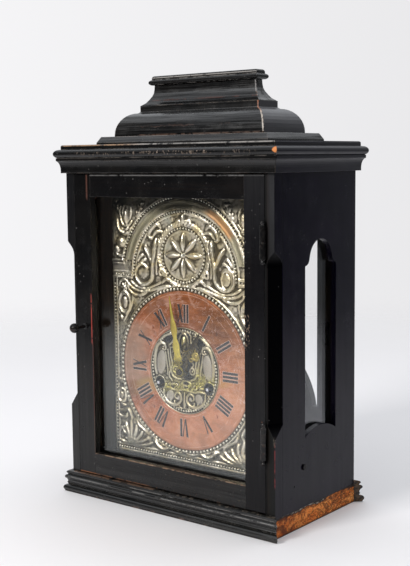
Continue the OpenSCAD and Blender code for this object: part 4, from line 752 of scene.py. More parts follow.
class Relief:
    """A height field over points (X, Z) in millimetres, built from swept domes."""

    def __init__(s, X, Z):
        s.X, s.Z = X, Z
        s.h = np.zeros_like(X)
        s.groove = np.zeros_like(X)

    def put(s, v):
        s.h = np.maximum(s.h, v)

    def sweep(s, path, k=1.0, keel=0.0):
        """path rows are (x, z, half width, height). keel > 0 makes a ridge along the middle."""
        for x, z, w, h in path:
            w = max(w, 0.3)
            sel = (np.abs(s.X - x) < w) & (np.abs(s.Z - z) < w)
            if not sel.any():
                continue
            d = np.hypot(s.X[sel] - x, s.Z[sel] - z) / w
            v = h * k * ((1 - keel) * np.sqrt(np.clip(1 - d * d, 0, 1)) + keel * np.clip(1 - d, 0, 1))
            s.h[sel] = np.maximum(s.h[sel], v)

    def stroke(s, pts, mirror=True, keel=0.0, n=10, groove=0.0):
        for sg in ((1, -1) if mirror else (1,)):
            q = [(sg * a, b, w, h) for a, b, w, h in pts]
            path = smooth_path(q, n)
            s.sweep(path, 1.0, keel)
            if groove > 0:
                for x, z, w, h in path:
                    r = max(0.45, 0.22 * w)
                    sel = (np.abs(s.X - x) < r) & (np.abs(s.Z - z) < r)
                    if sel.any():
                        d = np.hypot(s.X[sel] - x, s.Z[sel] - z) / r
                        s.groove[sel] = np.maximum(s.groove[sel], groove * h * np.clip(1 - d, 0, 1))

    def leaf(s, base, tip, bend, width, height, lobes=4, mirror=True, side=0):
        """An acanthus leaf: a bowed spine, with lobes that swing off it on both sides."""
        b, t = np.array(base, float), np.array(tip, float)
        d = t - b
        L = np.hypot(*d)
        u = d / L
        nrm = np.array([-u[1], u[0]])
        def at(q):
            return b + d * q + nrm * bend * L * 4 * q * (1 - q)
        spine = []
        for q in np.linspace(0, 1, 6):
            p = at(q)
            spine.append((p[0], p[1], max(0.5, width * 0.34 * (1 - 0.75 * q)), height * (1 - 0.25 * q)))
        s.stroke(spine, mirror, 0.2, 8, 0.35)
        for i in range(lobes):
            q = 0.12 + 0.72 * i / max(1, lobes - 1)
            for sd in ((1, -1) if side == 0 else (side,)):
                p = at(q)
                reach = width * (1.0 - 0.55 * q) * (0.85 + 0.25 * math.sin(3.1 * i + sd))
                out = p + (nrm * sd * 0.86 + u * 0.75) * reach
                mid = p + (nrm * sd * 0.65 + u * 0.25) * reach * 0.6
                w = width * 0.24
                s.stroke([(p[0], p[1], w * 0.8, height * 0.6), (mid[0], mid[1], w, height * 0.85), (out[0], out[1], w * 1.05, height * 0.95)], mirror, 0.0, 6, 0.25)

    def ringband(s, cx, cz, r, w, h, a0=-400, a1=400, wave=0, depth=0.0):
        """Raised round moulding of half width w at radius r, between angles a0 and a1 (degrees, from +X)."""
        rr = np.hypot(s.X - cx, s.Z - cz)
        d = np.abs(rr - r) / w
        v = h * np.sqrt(np.clip(1 - d * d, 0, 1))
        ang = np.degrees(np.arctan2(s.Z - cz, s.X - cx))
        if wave:
            v = v * (1 - depth + depth * np.cos(np.radians(ang) * wave + (rr - r) * 1.2))
        ok = (ang >= a0) & (ang <= a1)
        s.put(np.where(ok, v, 0))

    def oval(s, cx, cz, rx, rz, w, h):
        """Raised oval wire of half width w."""
        k = np.hypot((s.X - cx) / rx, (s.Z - cz) / rz)
        d = np.abs(k - 1) * min(rx, rz) / w
        s.put(h * np.sqrt(np.clip(1 - d * d, 0, 1)))

    def dome(s, cx, cz, rx, rz, h):
        k = np.hypot((s.X - cx) / rx, (s.Z - cz) / rz)
        s.put(h * np.sqrt(np.clip(1 - k * k, 0, 1)))


def soften(a, times=1):
    for _ in range(times):
        p = np.pad(a, 1, mode="edge")
        a = (p[1:-1, 1:-1] * 4 + (p[:-2, 1:-1] + p[2:, 1:-1] + p[1:-1, :-2] + p[1:-1, 2:]) * 2 + p[:-2, :-2] + p[2:, 2:] + p[:-2, 2:] + p[2:, :-2]) / 16
    return a


def value_noise(shape, cell, seed):
    r = np.random.RandomState(seed)
    h, w = shape
    g = r.rand(int(h / cell) + 3, int(w / cell) + 3)
    yy, xx = np.mgrid[0:h, 0:w] / cell
    y0, x0 = yy.astype(int), xx.astype(int)
    fy, fx = yy - y0, xx - x0
    fy, fx = fy * fy * (3 - 2 * fy), fx * fx * (3 - 2 * fx)
    return (g[y0, x0] * (1 - fx) + g[y0, x0 + 1] * fx) * (1 - fy) + (g[y0 + 1, x0] * (1 - fx) + g[y0 + 1, x0 + 1] * fx) * fy


# ---- the repousse plate
HW, ZB, ZT = 109.4, 50.4, 366.0
STEP = 0.85
xs = np.linspace(-HW, HW, int(2 * HW / STEP) + 1)
zs = np.linspace(ZB, ZT, int((ZT - ZB) / STEP) + 1)
X, Z = np.meshgrid(xs, zs)
R = Relief(X, Z)
AC = (0.0, 269.3)    # centre of both arches


def plate_relief():
    # mouldings of the two arches, the capitals that they spring from, and the border
    up = Z > 266
    rr = np.hypot(X - AC[0], Z - AC[1])
    for r, w, h in ((73.0, 0.9, 1.0), (78.5, 1.1, 1.4), (89.5, 1.0, 1.3), (95.4, 0.9, 1.0)):
        v = h * np.sqrt(np.clip(1 - ((rr - r) / w) ** 2, 0, 1))
        R.put(np.where(up & ((Z > 284) | (r < 80)), v, 0))
    for z0, w, h, xa in ((284.6, 1.3, 1.7, 91), (280.8, 0.9, 1.0, 91), (270.8, 1.0, 1.2, 78), (264.6, 1.0, 1.2, 78)):
        v = h * np.sqrt(np.clip(1 - ((Z - z0) / w) ** 2, 0, 1))
        R.put(np.where(np.abs(X) > xa, v, 0))
    for x0, w, h in ((103.6, 0.9, 1.2), (108.6, 0.8, 1.0)):
        v = h * np.sqrt(np.clip(1 - ((np.abs(X) - x0) / w) ** 2, 0, 1))
        R.put(np.where((Z > 52) & (Z < 264), v, 0))
    for z0, w, h in ((59.6, 0.9, 1.3), (52.4, 0.9, 0.9)):
        v = h * np.sqrt(np.clip(1 - ((Z - z0) / w) ** 2, 0, 1))
        R.put(np.where(np.abs(X) < 105, v, 0))
    # moulding round the chapter ring
    R.ringband(0, DZ, 98.2, 1.0, 1.5)
    # rosette: sunk disc with eight keeled petals, a bead-and-fillet frame and a laurel wreath
    cx, cz = 0.0, 294.5
    R.ringband(cx, cz, 28.2, 0.5, 0.6)
    R.ringband(cx, cz, 34.0, 0.6, 0.8)
    R.ringband(cx, cz, 37.2, 2.2, 1.9, wave=52, depth=0.40)
    for i in range(8):
        a = math.radians(45 * i)
        c, sn = math.cos(a), math.sin(a)
        u = (X - cx) * c + (Z - cz) * sn
        v = -(X - cx) * sn + (Z - cz) * c
        q = np.clip((u - 3) / 23.0, 0, 1)
        w = 3.9 * np.sin(np.pi * q ** 1.15) ** 0.85 + 0.02
        hh = 3.6 * np.clip(1 - (np.abs(v) / w) ** 1.5, 0, 1) ** 0.8 * (np.sin(np.pi * np.clip(q * 0.92 + 0.05, 0, 1)) ** 0.5)
        R.put(np.where((u > 3) & (u < 26.5), hh, 0))
    R.dome(cx, cz, 3.4, 3.4, 4.2)
    # bud that crowns the rosette
    R.stroke([(0, 332, 1.5, 1.5), (0.4, 335, 2.9, 3.0), (0.6, 339, 2.7, 3.2), (0.6, 342.2, 1.0, 1.6)], False)
    R.stroke([(2.5, 331.5, 1.2, 1.2), (6, 334.5, 1.6, 1.9), (9.5, 334, 1.2, 1.5), (10.5, 331.5, 0.8, 1.2)], True)
    # scrolls either side of the rosette
    R.stroke([(33.6, 325.0, 1.2, 1.4), (36.5, 328.6, 2.2, 2.4), (41.0, 328.8, 2.8, 3.0), (46.0, 325.0, 3.0, 3.2), (50.0, 319.6, 2.9, 3.1), (50.3, 314.6, 2.4, 2.8), (47.0, 312.6, 1.5, 2.2), (45.2, 314.8, 1.1, 1.7)], True, 0, 12, 0.3)
    R.stroke([(31.0, 320.5, 1.0, 1.2), (35.5, 321.6, 1.6, 1.8), (40.5, 320.2, 1.9, 2.1), (43.8, 316.6, 1.4, 1.8)], True, 0, 10)
    R.stroke([(40.6, 311.5, 1.6, 1.6), (41.6, 305.5, 3.4, 3.4), (42.6, 299.0, 3.2, 3.3), (44.0, 291.0, 2.9, 3.0), (45.4, 282.0, 3.0, 3.2), (46.0, 273.0, 3.1, 3.3), (47.2, 266.0, 2.9, 3.0), (51.5, 260.8, 2.8, 3.0), (58.5, 257.6, 2.8, 3.1), (66.0, 259.0, 2.6, 3.0), (71.2, 264.2, 2.3, 2.7), (72.6, 271.0, 2.0, 2.4), (70.4, 277.6, 1.9, 2.3), (65.0, 281.4, 1.8, 2.2), (59.4, 281.0, 1.5, 2.0), (55.6, 277.2, 1.2, 1.6)], True, 0, 14, 0.35)
    R.stroke([(58.2, 303.4, 1.0, 1.4), (55.6, 299.6, 2.8, 3.2), (51.6, 293.6, 2.8, 3.1), (48.6, 287.0, 2.2, 2.6), (46.8, 281.0, 1.6, 2.2)], True, 0.25, 12)
    R.stroke([(36.6, 312.0, 1.0, 1.2), (35.6, 305.0, 1.5, 1.7), (37.2, 297.0, 1.5, 1.6), (39.6, 288.0, 1.3, 1.5), (40.6, 279.0, 1.5, 1.6), (40.2, 271.0, 1.2, 1.4)], True, 0, 12)
    R.stroke([(62.0, 292.5, 1.2, 1.4), (65.5, 290.0, 1.7, 1.9), (68.6, 285.4, 1.4, 1.6)], True)
    R.stroke([(57.5, 287.5, 1.2, 1.3), (62.0, 285.6, 1.6, 1.8), (66.6, 282.6, 1.2, 1.5)], True)
    R.dome(62.0, 269.6, 6.6, 9.4, 1.9)
    R.oval(62.0, 269.6, 7.4, 10.3, 0.9, 1.9)
    # strands of leaf that run out along the ring
    R.stroke([(20.0, 258.6, 0.9, 1.1), (29.0, 256.8, 1.7, 2.0), (40.0, 254.0, 1.8, 2.2), (52.0, 250.6, 1.7, 2.1), (66.0, 249.4, 1.7, 2.0), (78.0, 252.6, 1.4, 1.7), (86.0, 258.6, 0.9, 1.2)], True, 0, 12, 0.2)
    R.stroke([(34.0, 261.2, 0.9, 1.1), (44.0, 256.8, 1.3, 1.6), (56.0, 253.2, 1.4, 1.8), (70.0, 254.2, 1.5, 1.9), (80.0, 259.4, 1.2, 1.4)], True, 0, 12)
    R.stroke([(56.0, 247.6, 0.8, 1.0), (66.0, 244.6, 1.4, 1.7), (76.0, 245.0, 1.5, 1.8), (82.0, 248.4, 1.0, 1.3)], True, 0, 10)
    # curls below the rosette
    R.stroke([(6.5, 257.6, 1.0, 1.0), (11.5, 259.8, 1.5, 1.7), (17.0, 263.2, 2.1, 2.5), (22.6, 266.4, 2.3, 2.8), (28.0, 264.8, 1.9, 2.3), (31.6, 261.2, 1.1, 1.5)], True, 0, 12, 0.25)
    R.stroke([(25.0, 270.6, 0.9, 1.0), (28.6, 275.2, 1.4, 1.6), (33.4, 276.8, 1.6, 1.9), (36.4, 273.6, 1.3, 1.6), (34.6, 270.0, 0.9, 1.3), (31.8, 270.6, 0.8, 1.1)], True, 0, 12)
    R.dome(13.4, 267.2, 2.2, 2.2, 2.2)
    R.stroke([(0, 258.2, 1.8, 1.4), (0, 262.4, 2.6, 2.2)], False)
    # corners above the arch: a bud in its cup, with a ball and curls
    for sg in (1, -1):
        R.dome(sg * 86.2, 336.6, 4.2, 9.2, 3.6)
        R.dome(sg * 95.0, 306.2, 7.0, 6.6, 3.4)
        R.dome(sg * 101.5, 298.0, 4.2, 4.6, 2.2)
    R.stroke([(101.6, 333.0, 0.9, 1.2), (99.6, 325.0, 1.6, 2.2), (94.8, 319.4, 2.2, 2.8), (87.6, 317.0, 2.3, 2.8), (81.0, 319.6, 1.7, 2.2), (79.2, 324.2, 1.1, 1.6)], True, 0, 12, 0.25)
    R.stroke([(96.4, 339.6, 0.8, 1.0), (94.2, 331.4, 1.3, 1.7), (89.4, 326.2, 1.6, 2.0), (82.6, 326.8, 1.3, 1.7), (78.4, 331.4, 1.0, 1.4)], True, 0, 12)
    R.stroke([(94.0, 324.0, 1.2, 1.3), (91.0, 321.8, 1.7, 2.2), (86.0, 322.0, 1.7, 2.4), (82.8, 324.2, 1.0, 1.5)], True, 0, 10)
    R.stroke([(90.0, 350.6, 0.8, 0.9), (92.4, 344.0, 1.2, 1.5), (91.6, 337.4, 1.1, 1.4), (89.8, 330.6, 1.0, 1.3)], True, 0, 10)
    R.stroke([(80.4, 348.4, 0.8, 0.9), (79.4, 341.8, 1.3, 1.6), (80.6, 335.0, 1.2, 1.5), (83.4, 329.6, 1.0, 1.3)], True, 0, 10)
    R.stroke([(105.6, 296.0, 1.0, 1.2), (101.6, 291.4, 1.4, 1.8), (96.0, 289.6, 1.7, 2.0), (91.6, 291.8, 1.2, 1.6), (92.2, 296.2, 0.9, 1.2)], True, 0, 12)
    R.leaf((70.0, 338.0), (63.0, 356.0), 0.10, 5.0, 1.8, 3)
    R.leaf((97.0, 342.0), (103.0, 358.0), -0.10, 5.0, 1.6, 3)
    # oval medallions and their small flowers
    for cz_, rx, rz in ((234.0, 8.8, 13.0), (120.0, 6.4, 8.4)):
        for sg in (1, -1):
            cx_ = sg * (91.2 if cz_ > 200 else 100.2 - 2.0)
            R.oval(cx_, cz_, rx, rz, 1.25, 2.3)
            R.oval(cx_, cz_, rx * 0.72, rz * 0.76, 0.7, 1.3)
            R.dome(cx_, cz_, rx * 0.58, rz * 0.62, 1.7)
    for fz, fx, fr in ((253.2, 91.0, 5.6), (138.0, 98.6, 4.4), (215.4, 97.4, 3.2)):
        for sg in (1, -1):
            R.dome(sg * fx, fz, fr * 0.26, fr * 0.26, 2.4)
            for i in range(6):
                a = math.radians(60 * i + 15)
                R.stroke([(sg * fx + 0.25 * fr * math.cos(a), fz + 0.25 * fr * math.sin(a), fr * 0.18, 1.2), (sg * fx + 0.72 * fr * math.cos(a), fz + 0.72 * fr * math.sin(a), fr * 0.27, 1.9)], False, 0, 6)
    R.stroke([(80.6, 246.8, 0.9, 1.1), (84.6, 251.2, 1.2, 1.6), (85.4, 257.6, 1.0, 1.4), (90.6, 261.4, 1.2, 1.5), (97.0, 260.0, 1.1, 1.4), (100.6, 254.4, 0.9, 1.2)], True, 0, 10)
    R.stroke([(101.4, 246.0, 0.9, 1.0), (103.0, 236.0, 1.1, 1.4), (101.8, 224.0, 1.0, 1.3), (98.4, 220.0, 0.9, 1.1)], True, 0, 10)
    R.stroke([(78.6, 243.0, 0.8, 0.9), (79.0, 235.6, 1.0, 1.2), (82.4, 226.0, 1.0, 1.3), (88.6, 218.0, 1.1, 1.3), (93.6, 211.6, 0.9, 1.1)], True, 0, 10)
    # foot corners: a fan of leaves, a C scroll each side of the ring's foot and curls
    R.leaf((88.0, 63.0), (95.5, 82.0), 0.10, 6.5, 2.5, 3)
    R.stroke([(86.0, 62.6, 1.8, 1.6), (87.6, 71.0, 2.8, 2.6), (90.4, 80.0, 2.5, 2.3), (92.6, 86.0, 1.2, 1.4)], True, 0.1, 12, 0.3)
    R.stroke([(85.0, 62.4, 1.8, 1.6), (83.6, 71.4, 2.8, 2.7), (83.6, 81.0, 2.6, 2.5), (84.8, 88.4, 1.3, 1.5)], True, 0.1, 12, 0.3)
    R.stroke([(83.6, 62.2, 1.7, 1.6), (79.2, 69.8, 2.6, 2.7), (76.6, 78.0, 2.4, 2.5), (76.2, 84.4, 1.2, 1.5)], True, 0.1, 12, 0.3)
    R.stroke([(82.0, 61.6, 1.7, 1.6), (75.0, 67.4, 2.4, 2.6), (69.8, 73.0, 2.2, 2.4), (67.0, 78.2, 1.1, 1.4)], True, 0.1, 12, 0.3)
    R.stroke([(80.6, 61.4, 1.6, 1.5), (72.0, 64.6, 2.2, 2.4), (63.0, 68.0, 2.1, 2.3), (57.4, 72.4, 1.1, 1.4)], True, 0.1, 12, 0.3)
    R.stroke([(79.0, 61.0, 1.3, 1.2), (68.0, 61.6, 1.7, 1.8), (57.6, 63.8, 1.6, 1.7), (50.6, 67.4, 0.9, 1.1)], True, 0.0, 12, 0.2)
    R.stroke([(48.6, 71.4, 1.2, 1.5), (44.4, 69.4, 2.2, 2.7), (39.8, 64.8, 2.7, 3.3), (34.0, 62.6, 2.6, 3.2), (27.4, 63.6, 2.3, 2.9), (23.4, 66.6, 1.6, 2.1), (24.6, 69.2, 1.0, 1.5)], True, 0.0, 12, 0.25)
    R.stroke([(36.6, 67.2, 0.9, 1.1), (31.6, 67.4, 1.2, 1.4), (28.2, 66.8, 0.9, 1.2)], True)
    R.stroke([(19.6, 63.8, 0.9, 1.0), (12.0, 62.0, 1.5, 1.8), (4.0, 62.4, 1.4, 1.8), (0.0, 63.6, 1.5, 2.0)], True, 0, 10)
    R.dome(0, 64.2, 2.2, 2.4, 2.4)
    R.stroke([(104.0, 68.4, 0.9, 1.1), (103.0, 75.0, 1.4, 1.8), (99.4, 79.4, 1.5, 2.0), (96.6, 75.8, 1.1, 1.5), (98.6, 73.0, 0.8, 1.2)], True, 0, 12)
    R.stroke([(103.4, 64.0, 1.0, 1.2), (97.0, 62.6, 1.6, 1.8), (91.0, 62.0, 1.5, 1.7)], True)
    R.stroke([(101.4, 100.6, 1.0, 1.4), (94.0, 101.6, 1.6, 2.1), (88.4, 103.8, 1.8, 2.6), (84.6, 100.0, 2.0, 2.9), (82.6, 94.4, 1.5, 2.3), (84.4, 90.0, 0.9, 1.4)], True, 0, 12, 0.25)
    R.stroke([(102.6, 94.6, 0.9, 1.1), (97.4, 92.6, 1.4, 1.7), (92.0, 94.4, 1.3, 1.6), (90.6, 98.2, 0.9, 1.2)], True, 0, 12)
    R.stroke([(75.0, 92.4, 0.9, 1.1), (72.6, 87.4, 1.3, 1.7), (67.6, 84.0, 1.4, 1.9), (61.6, 80.2, 1.1, 1.5), (56.0, 77.0, 0.8, 1.0)], True, 0, 12)
    R.stroke([(102.0, 112.6, 0.8, 1.0), (97.6, 108.6, 1.2, 1.5), (92.6, 108.0, 1.1, 1.4)], True)


plate_relief()
H = soften(R.h - R.groove, 1)
chased = value_noise(X.shape, 2.4, 51) * 0.6 + value_noise(X.shape, 4.8, 52) * 0.4
rosette_r = np.hypot(X, Z - 294.5)
H = H + np.clip(H / 1.2, 0, 1) * (chased - 0.5) * np.where(rosette_r < 30, 0.35, 0.95)
rr_arch = np.hypot(X - AC[0], Z - AC[1])
band = (rr_arch > 79.8) & (rr_arch < 88.4) & (Z > 286)
ring_r = np.hypot(X, Z - DZ)
quiet = band | (ring_r < 96) | ((np.abs(X) > 85) & (Z > 266) & (Z < 284))
# hammered ground and the unevenness of hand work
ground = np.clip(1 - H / 0.8, 0, 1)
dents = value_noise(X.shape, 2.6, 3) * 0.55 + value_noise(X.shape, 5.0, 4) * 0.45
gran = (np.abs(X) > 96.5) & (Z > 146) & (Z < 210)
H = H + np.where(quiet, 0, ground * (dents - 0.35) * 0.55) + value_noise(X.shape, 9.0, 5) * 0.35
grains = 0.9 * np.clip(np.sin(X * 2.1 + np.sin(Z * 0.7)) * np.sin(Z * 2.1 + np.cos(X)), 0, 1)
H = np.where(gran, np.maximum(H, grains), H)
H = np.where(band, 0.9 - 0.5 * np.cos((rr_arch - 84.1) / 4.3 * np.pi) * 0.5 + 0.15 * value_noise(X.shape, 14, 8), H)
# darkness for the hollows, from how far each point lies below its surroundings: tarnish that sits there, and painted
# shade; darkest at the bead seats and round the chapter ring
wide = soften(H, 9)
wider = soften(wide, 26)
cavity = np.clip((wide - H) * 1.0 + (wider - H) * 0.55 + ground * 0.20 * (~quiet), 0, 1)
cavity = np.where(band, 0.05, cavity)
cavity = np.where(np.hypot(X, Z - 294.5) < 27.2, cavity * 0.72, cavity)
bead_seat = (np.abs(np.hypot(X, Z - 294.5) - 31.1) < 2.2) | ((np.abs(rr_arch - 75.7) < 1.7) & (Z > 266)) | ((np.abs(rr_arch - 92.5) < 1.8) & (Z > 284)) | (np.abs(ring_r - 95.4) < 2.4)
cavity = np.where(bead_seat, np.maximum(cavity, 0.60), cavity)
cavity = np.where(ring_r < 99.5, np.maximum(cavity, 0.25), cavity)
# lift for the raised places: polish, and a painted highlight
high = np.clip((H - wide) * 0.9, 0, 1)


def plate_mesh():
    ny, nx = X.shape
    keep = ring_r > 89.0
    idx = -np.ones(X.shape, int)
    cell = keep[:-1, :-1] & keep[1:, :-1] & keep[:-1, 1:] & keep[1:, 1:]
    used = np.zeros(X.shape, bool)
    for a in (0, 1):
        for b in (0, 1):
            used[a:ny - 1 + a, b:nx - 1 + b] |= cell
    idx[used] = np.arange(used.sum())
    nv = int(used.sum())
    front = np.stack([X[used], YP - np.clip(H[used], 0, 5.2), Z[used]], 1)
    back = np.stack([X[used], np.full(nv, YB), Z[used]], 1)
    faces = []
    jj, ii = np.nonzero(cell)
    a, b, c, d = idx[jj, ii], idx[jj, ii + 1], idx[jj + 1, ii + 1], idx[jj + 1, ii]
    faces += np.stack([a, b, c, d], 1).tolist()
    # rim and back, only along the outline
    edge = {}
    for f in np.stack([a, b, c, d], 1).tolist():
        for p, q in zip(f, f[1:] + f[:1]):
            if (q, p) in edge:
                del edge[(q, p)]
            else:
                edge[(p, q)] = True
    used_back = sorted({v for e in edge for v in e})
    bmap = {v: nv + i for i, v in enumerate(used_back)}
    verts = np.vstack([front, back[used_back]])
    for p, q in edge:
        faces.append((q, p, bmap[p], bmap[q]))
    pad = np.zeros(len(used_back))
    at = {"cavity": np.concatenate([cavity[used], pad + 0.6]), "band": np.concatenate([band[used].astype(float), pad]), "high": np.concatenate([high[used], pad])}
    return mesh_piece("dial_plate_repousse", verts, faces, SILVER, "case", ("dial_plate",), True, at)


plate = plate_mesh()

# ---- rows of beads
bead_v, bead_f, bead_a = [], [], []


def bead(x, y, z, r, h=None, stretch=1.0, ang=0.0, seg=8, rings=3):
    """Half a ball that stands on the plane y and faces the front."""
    h = r if h is None else h
    b = len(bead_v)
    c, s = math.cos(ang), math.sin(ang)
    for i in range(rings):
        t = (math.pi / 2) * i / rings
        for k in range(seg):
            f = 2 * math.pi * k / seg
            u, v = r * stretch * math.cos(t) * math.cos(f), r * math.cos(t) * math.sin(f)
            bead_v.append((x + u * c - v * s, y - h * math.sin(t), z + u * s + v * c))
            # the foot ring of each bead darkened: painted shade where it meets the plate
            bead_a.append(0.75 if i == 0 else 0.05)
    bead_v.append((x, y - h, z))
    bead_a.append(0.0)
    for i in range(rings - 1):
        for k in range(seg):
            k2 = (k + 1) % seg
            bead_f.append((b + i * seg + k, b + i * seg + k2, b + (i + 1) * seg + k2, b + (i + 1) * seg + k))
    for k in range(seg):
        bead_f.append((b + (rings - 1) * seg + k, b + (rings - 1) * seg + (k + 1) % seg, b + rings * seg))
    bead_f.append(tuple(b + k for k in reversed(range(seg))))


def bead_arc(cx, cz, r, a0, a1, pitch, size, y, h=None, stretch=1.0, twist=0.0):
    n = max(2, int(round(math.radians(a1 - a0) * r / pitch)))
    full = abs((a1 - a0) - 360) < 1e-6
    for i in range(n if full else n + 1):
        a = math.radians(a0 + (a1 - a0) * i / n)
        j = 1 + 0.10 * math.sin(i * 12.9898)
        bead(cx + r * math.cos(a), y, cz + r * math.sin(a), size * j, (h or size) * j, stretch, a + twist)


bead_arc(0, DZ, 95.4, 0, 360, 5.25, 2.0, YP - 0.3, 2.3)
bead_arc(AC[0], AC[1], 75.7, -1, 181, 3.9, 1.45, YP - 0.4, 2.0, 1.2, 0.5)
for sgn, (a0, a1) in ((1, (10.5, 80)), (-1, (100, 169.5))):
    bead_arc(AC[0], AC[1], 92.5, a0, a1, 4.0, 1.35, YP - 0.5, 1.8, 1.2, 0.5)
bead_arc(0, 294.5, 31.1, 0, 360, 4.3, 1.7, YP - 0.3, 2.1)
n = 54
for i in range(n):
    bead(-103.0 + 206.0 * i / (n - 1), YP - 0.4, 56.0, 1.35, 1.7, 1.25, 0.6)
for sg in (1, -1):
    for i in range(50):
        bead(sg * 106.1, YP - 0.3, 60.0 + 4.0 * i, 1.2, 1.4)
    for i in range(7):
        bead(sg * (79.6 + 4.0 * i), YP - 0.4, 267.7, 1.25, 1.5, 1.2, 0.5)
# bead caps lightened as a painted highlight, their feet darkened as painted shade
mesh_piece("dial_plate_beads", bead_v, bead_f, SILVER, "case", (), True,
           {"cavity": bead_a, "band": [0.0] * len(bead_v), "high": [1.0 - 1.3 * a for a in bead_a]})

# ---- chapter ring
RO, RI = 93.0, 51.0


def ring_mesh():
    nr, na = 30, 240
    verts, faces = [], []
    prof = [(RI, YP, 1), (RI, YP - 1.3, 1)] + [(RI + 0.3 + (RO - RI - 0.6) * i / (nr - 1), None, 0) for i in range(nr)] + [(RO, YP - 1.3, 1), (RO, YP, 1)]
    for k in range(na):
        a = 2 * math.pi * k / na
        for r, y, _ in prof:
            if y is None:
                t = min(r - RI, RO - r)
                y = YP - 1.5 - 0.5 * min(1.0, t / 1.6) - 0.07 * math.sin(5 * a + r * 0.21) * math.sin(r * 0.16)
            verts.append((r * math.cos(a), y, DZ + r * math.sin(a)))
    m = len(prof)
    for k in range(na):
        k2 = (k + 1) % na
        for i in range(m - 1):
            faces.append((k * m + i, k * m + i + 1, k2 * m + i + 1, k2 * m + i))
    faces = [f[::-1] for f in faces]
    return mesh_piece("chapter_ring_copper", verts, faces, COPPER, "case", ("chapter_ring",), True)


ring_mesh()

# ---- numerals: strokes as polygons in (across, up) with up away from the centre, 0..22 mm
NH = 21.5


def bar(x, w=2.5, y0=0.0, y1=NH, slant=0.0):
    return [(x - w / 2, y0), (x + w / 2, y0), (x + w / 2 + slant, y1), (x - w / 2 + slant, y1)]


def glyph(c):
    """Strokes of one letter and its advance. Thick and thin strokes as on an engraved ring."""
    if c == "I":
        return [bar(1.5, 2.9)], 4.3
    if c == "V":
        return [[(0.0, NH), (3.0, NH), (5.4, 0), (3.6, 0)], [(7.9, NH), (9.0, NH), (5.3, 0), (4.3, 0)]], 9.3
    return [[(0.0, NH), (3.1, NH), (8.7, 0), (5.6, 0)], [(7.6, NH), (8.8, NH), (1.4, 0), (0.2, 0)]], 9.2


NUM = ["XII", "I", "II", "III", "IIII", "V", "VI", "VII", "VIII", "IX", "X", "XI"]


def numerals(name, grow, y, mat, thick):
    V, F = [], []
    for k, txt in enumerate(NUM):
        polys, x = [], 0.0
        for c in txt:
            g, adv = glyph(c)
            polys += [[(px + x, py) for px, py in q] for q in g]
            x += adv
        for q in polys:
            cx_ = sum(p[0] for p in q) / len(q)
            q2 = []
            cyy = sum(p[1] for p in q) / len(q)
            for px, py in q:
                q2.append((px + grow * (1 if px > cx_ else -1), py + grow * (1 if py > cyy else -1)))
            a = math.radians(90 - 30 * k)
            u, t = np.array([math.cos(a), math.sin(a)]), np.array([math.sin(a), -math.cos(a)])
            base = len(V)
            pts = []
            for px, py in q2:
                p = u * (56.6 + py * 0.985) + t * (px - (x - 1.1) / 2)
                pts.append((p[0], DZ + p[1]))
            area = sum(pts[i][0] * pts[(i + 1) % len(pts)][1] - pts[(i + 1) % len(pts)][0] * pts[i][1] for i in range(len(pts)))
            if area < 0:
                pts = pts[::-1]
            m = len(pts)
            for px, pz in pts:
                V.append((px, y, pz))
            for px, pz in pts:
                V.append((px, y + thick, pz))
            F.append(tuple(range(base, base + m)))
            for i in range(m):
                j = (i + 1) % m
                F.append((base + j, base + i, base + m + i, base + m + j))
    return mesh_piece(name, V, F, mat, "case", (), False)


numerals("numeral_outlines", 0.42, YP - 2.16, OUTLINE, 0.5)
numerals("numerals_roman", 0.0, YP - 2.30, INK, 0.6)

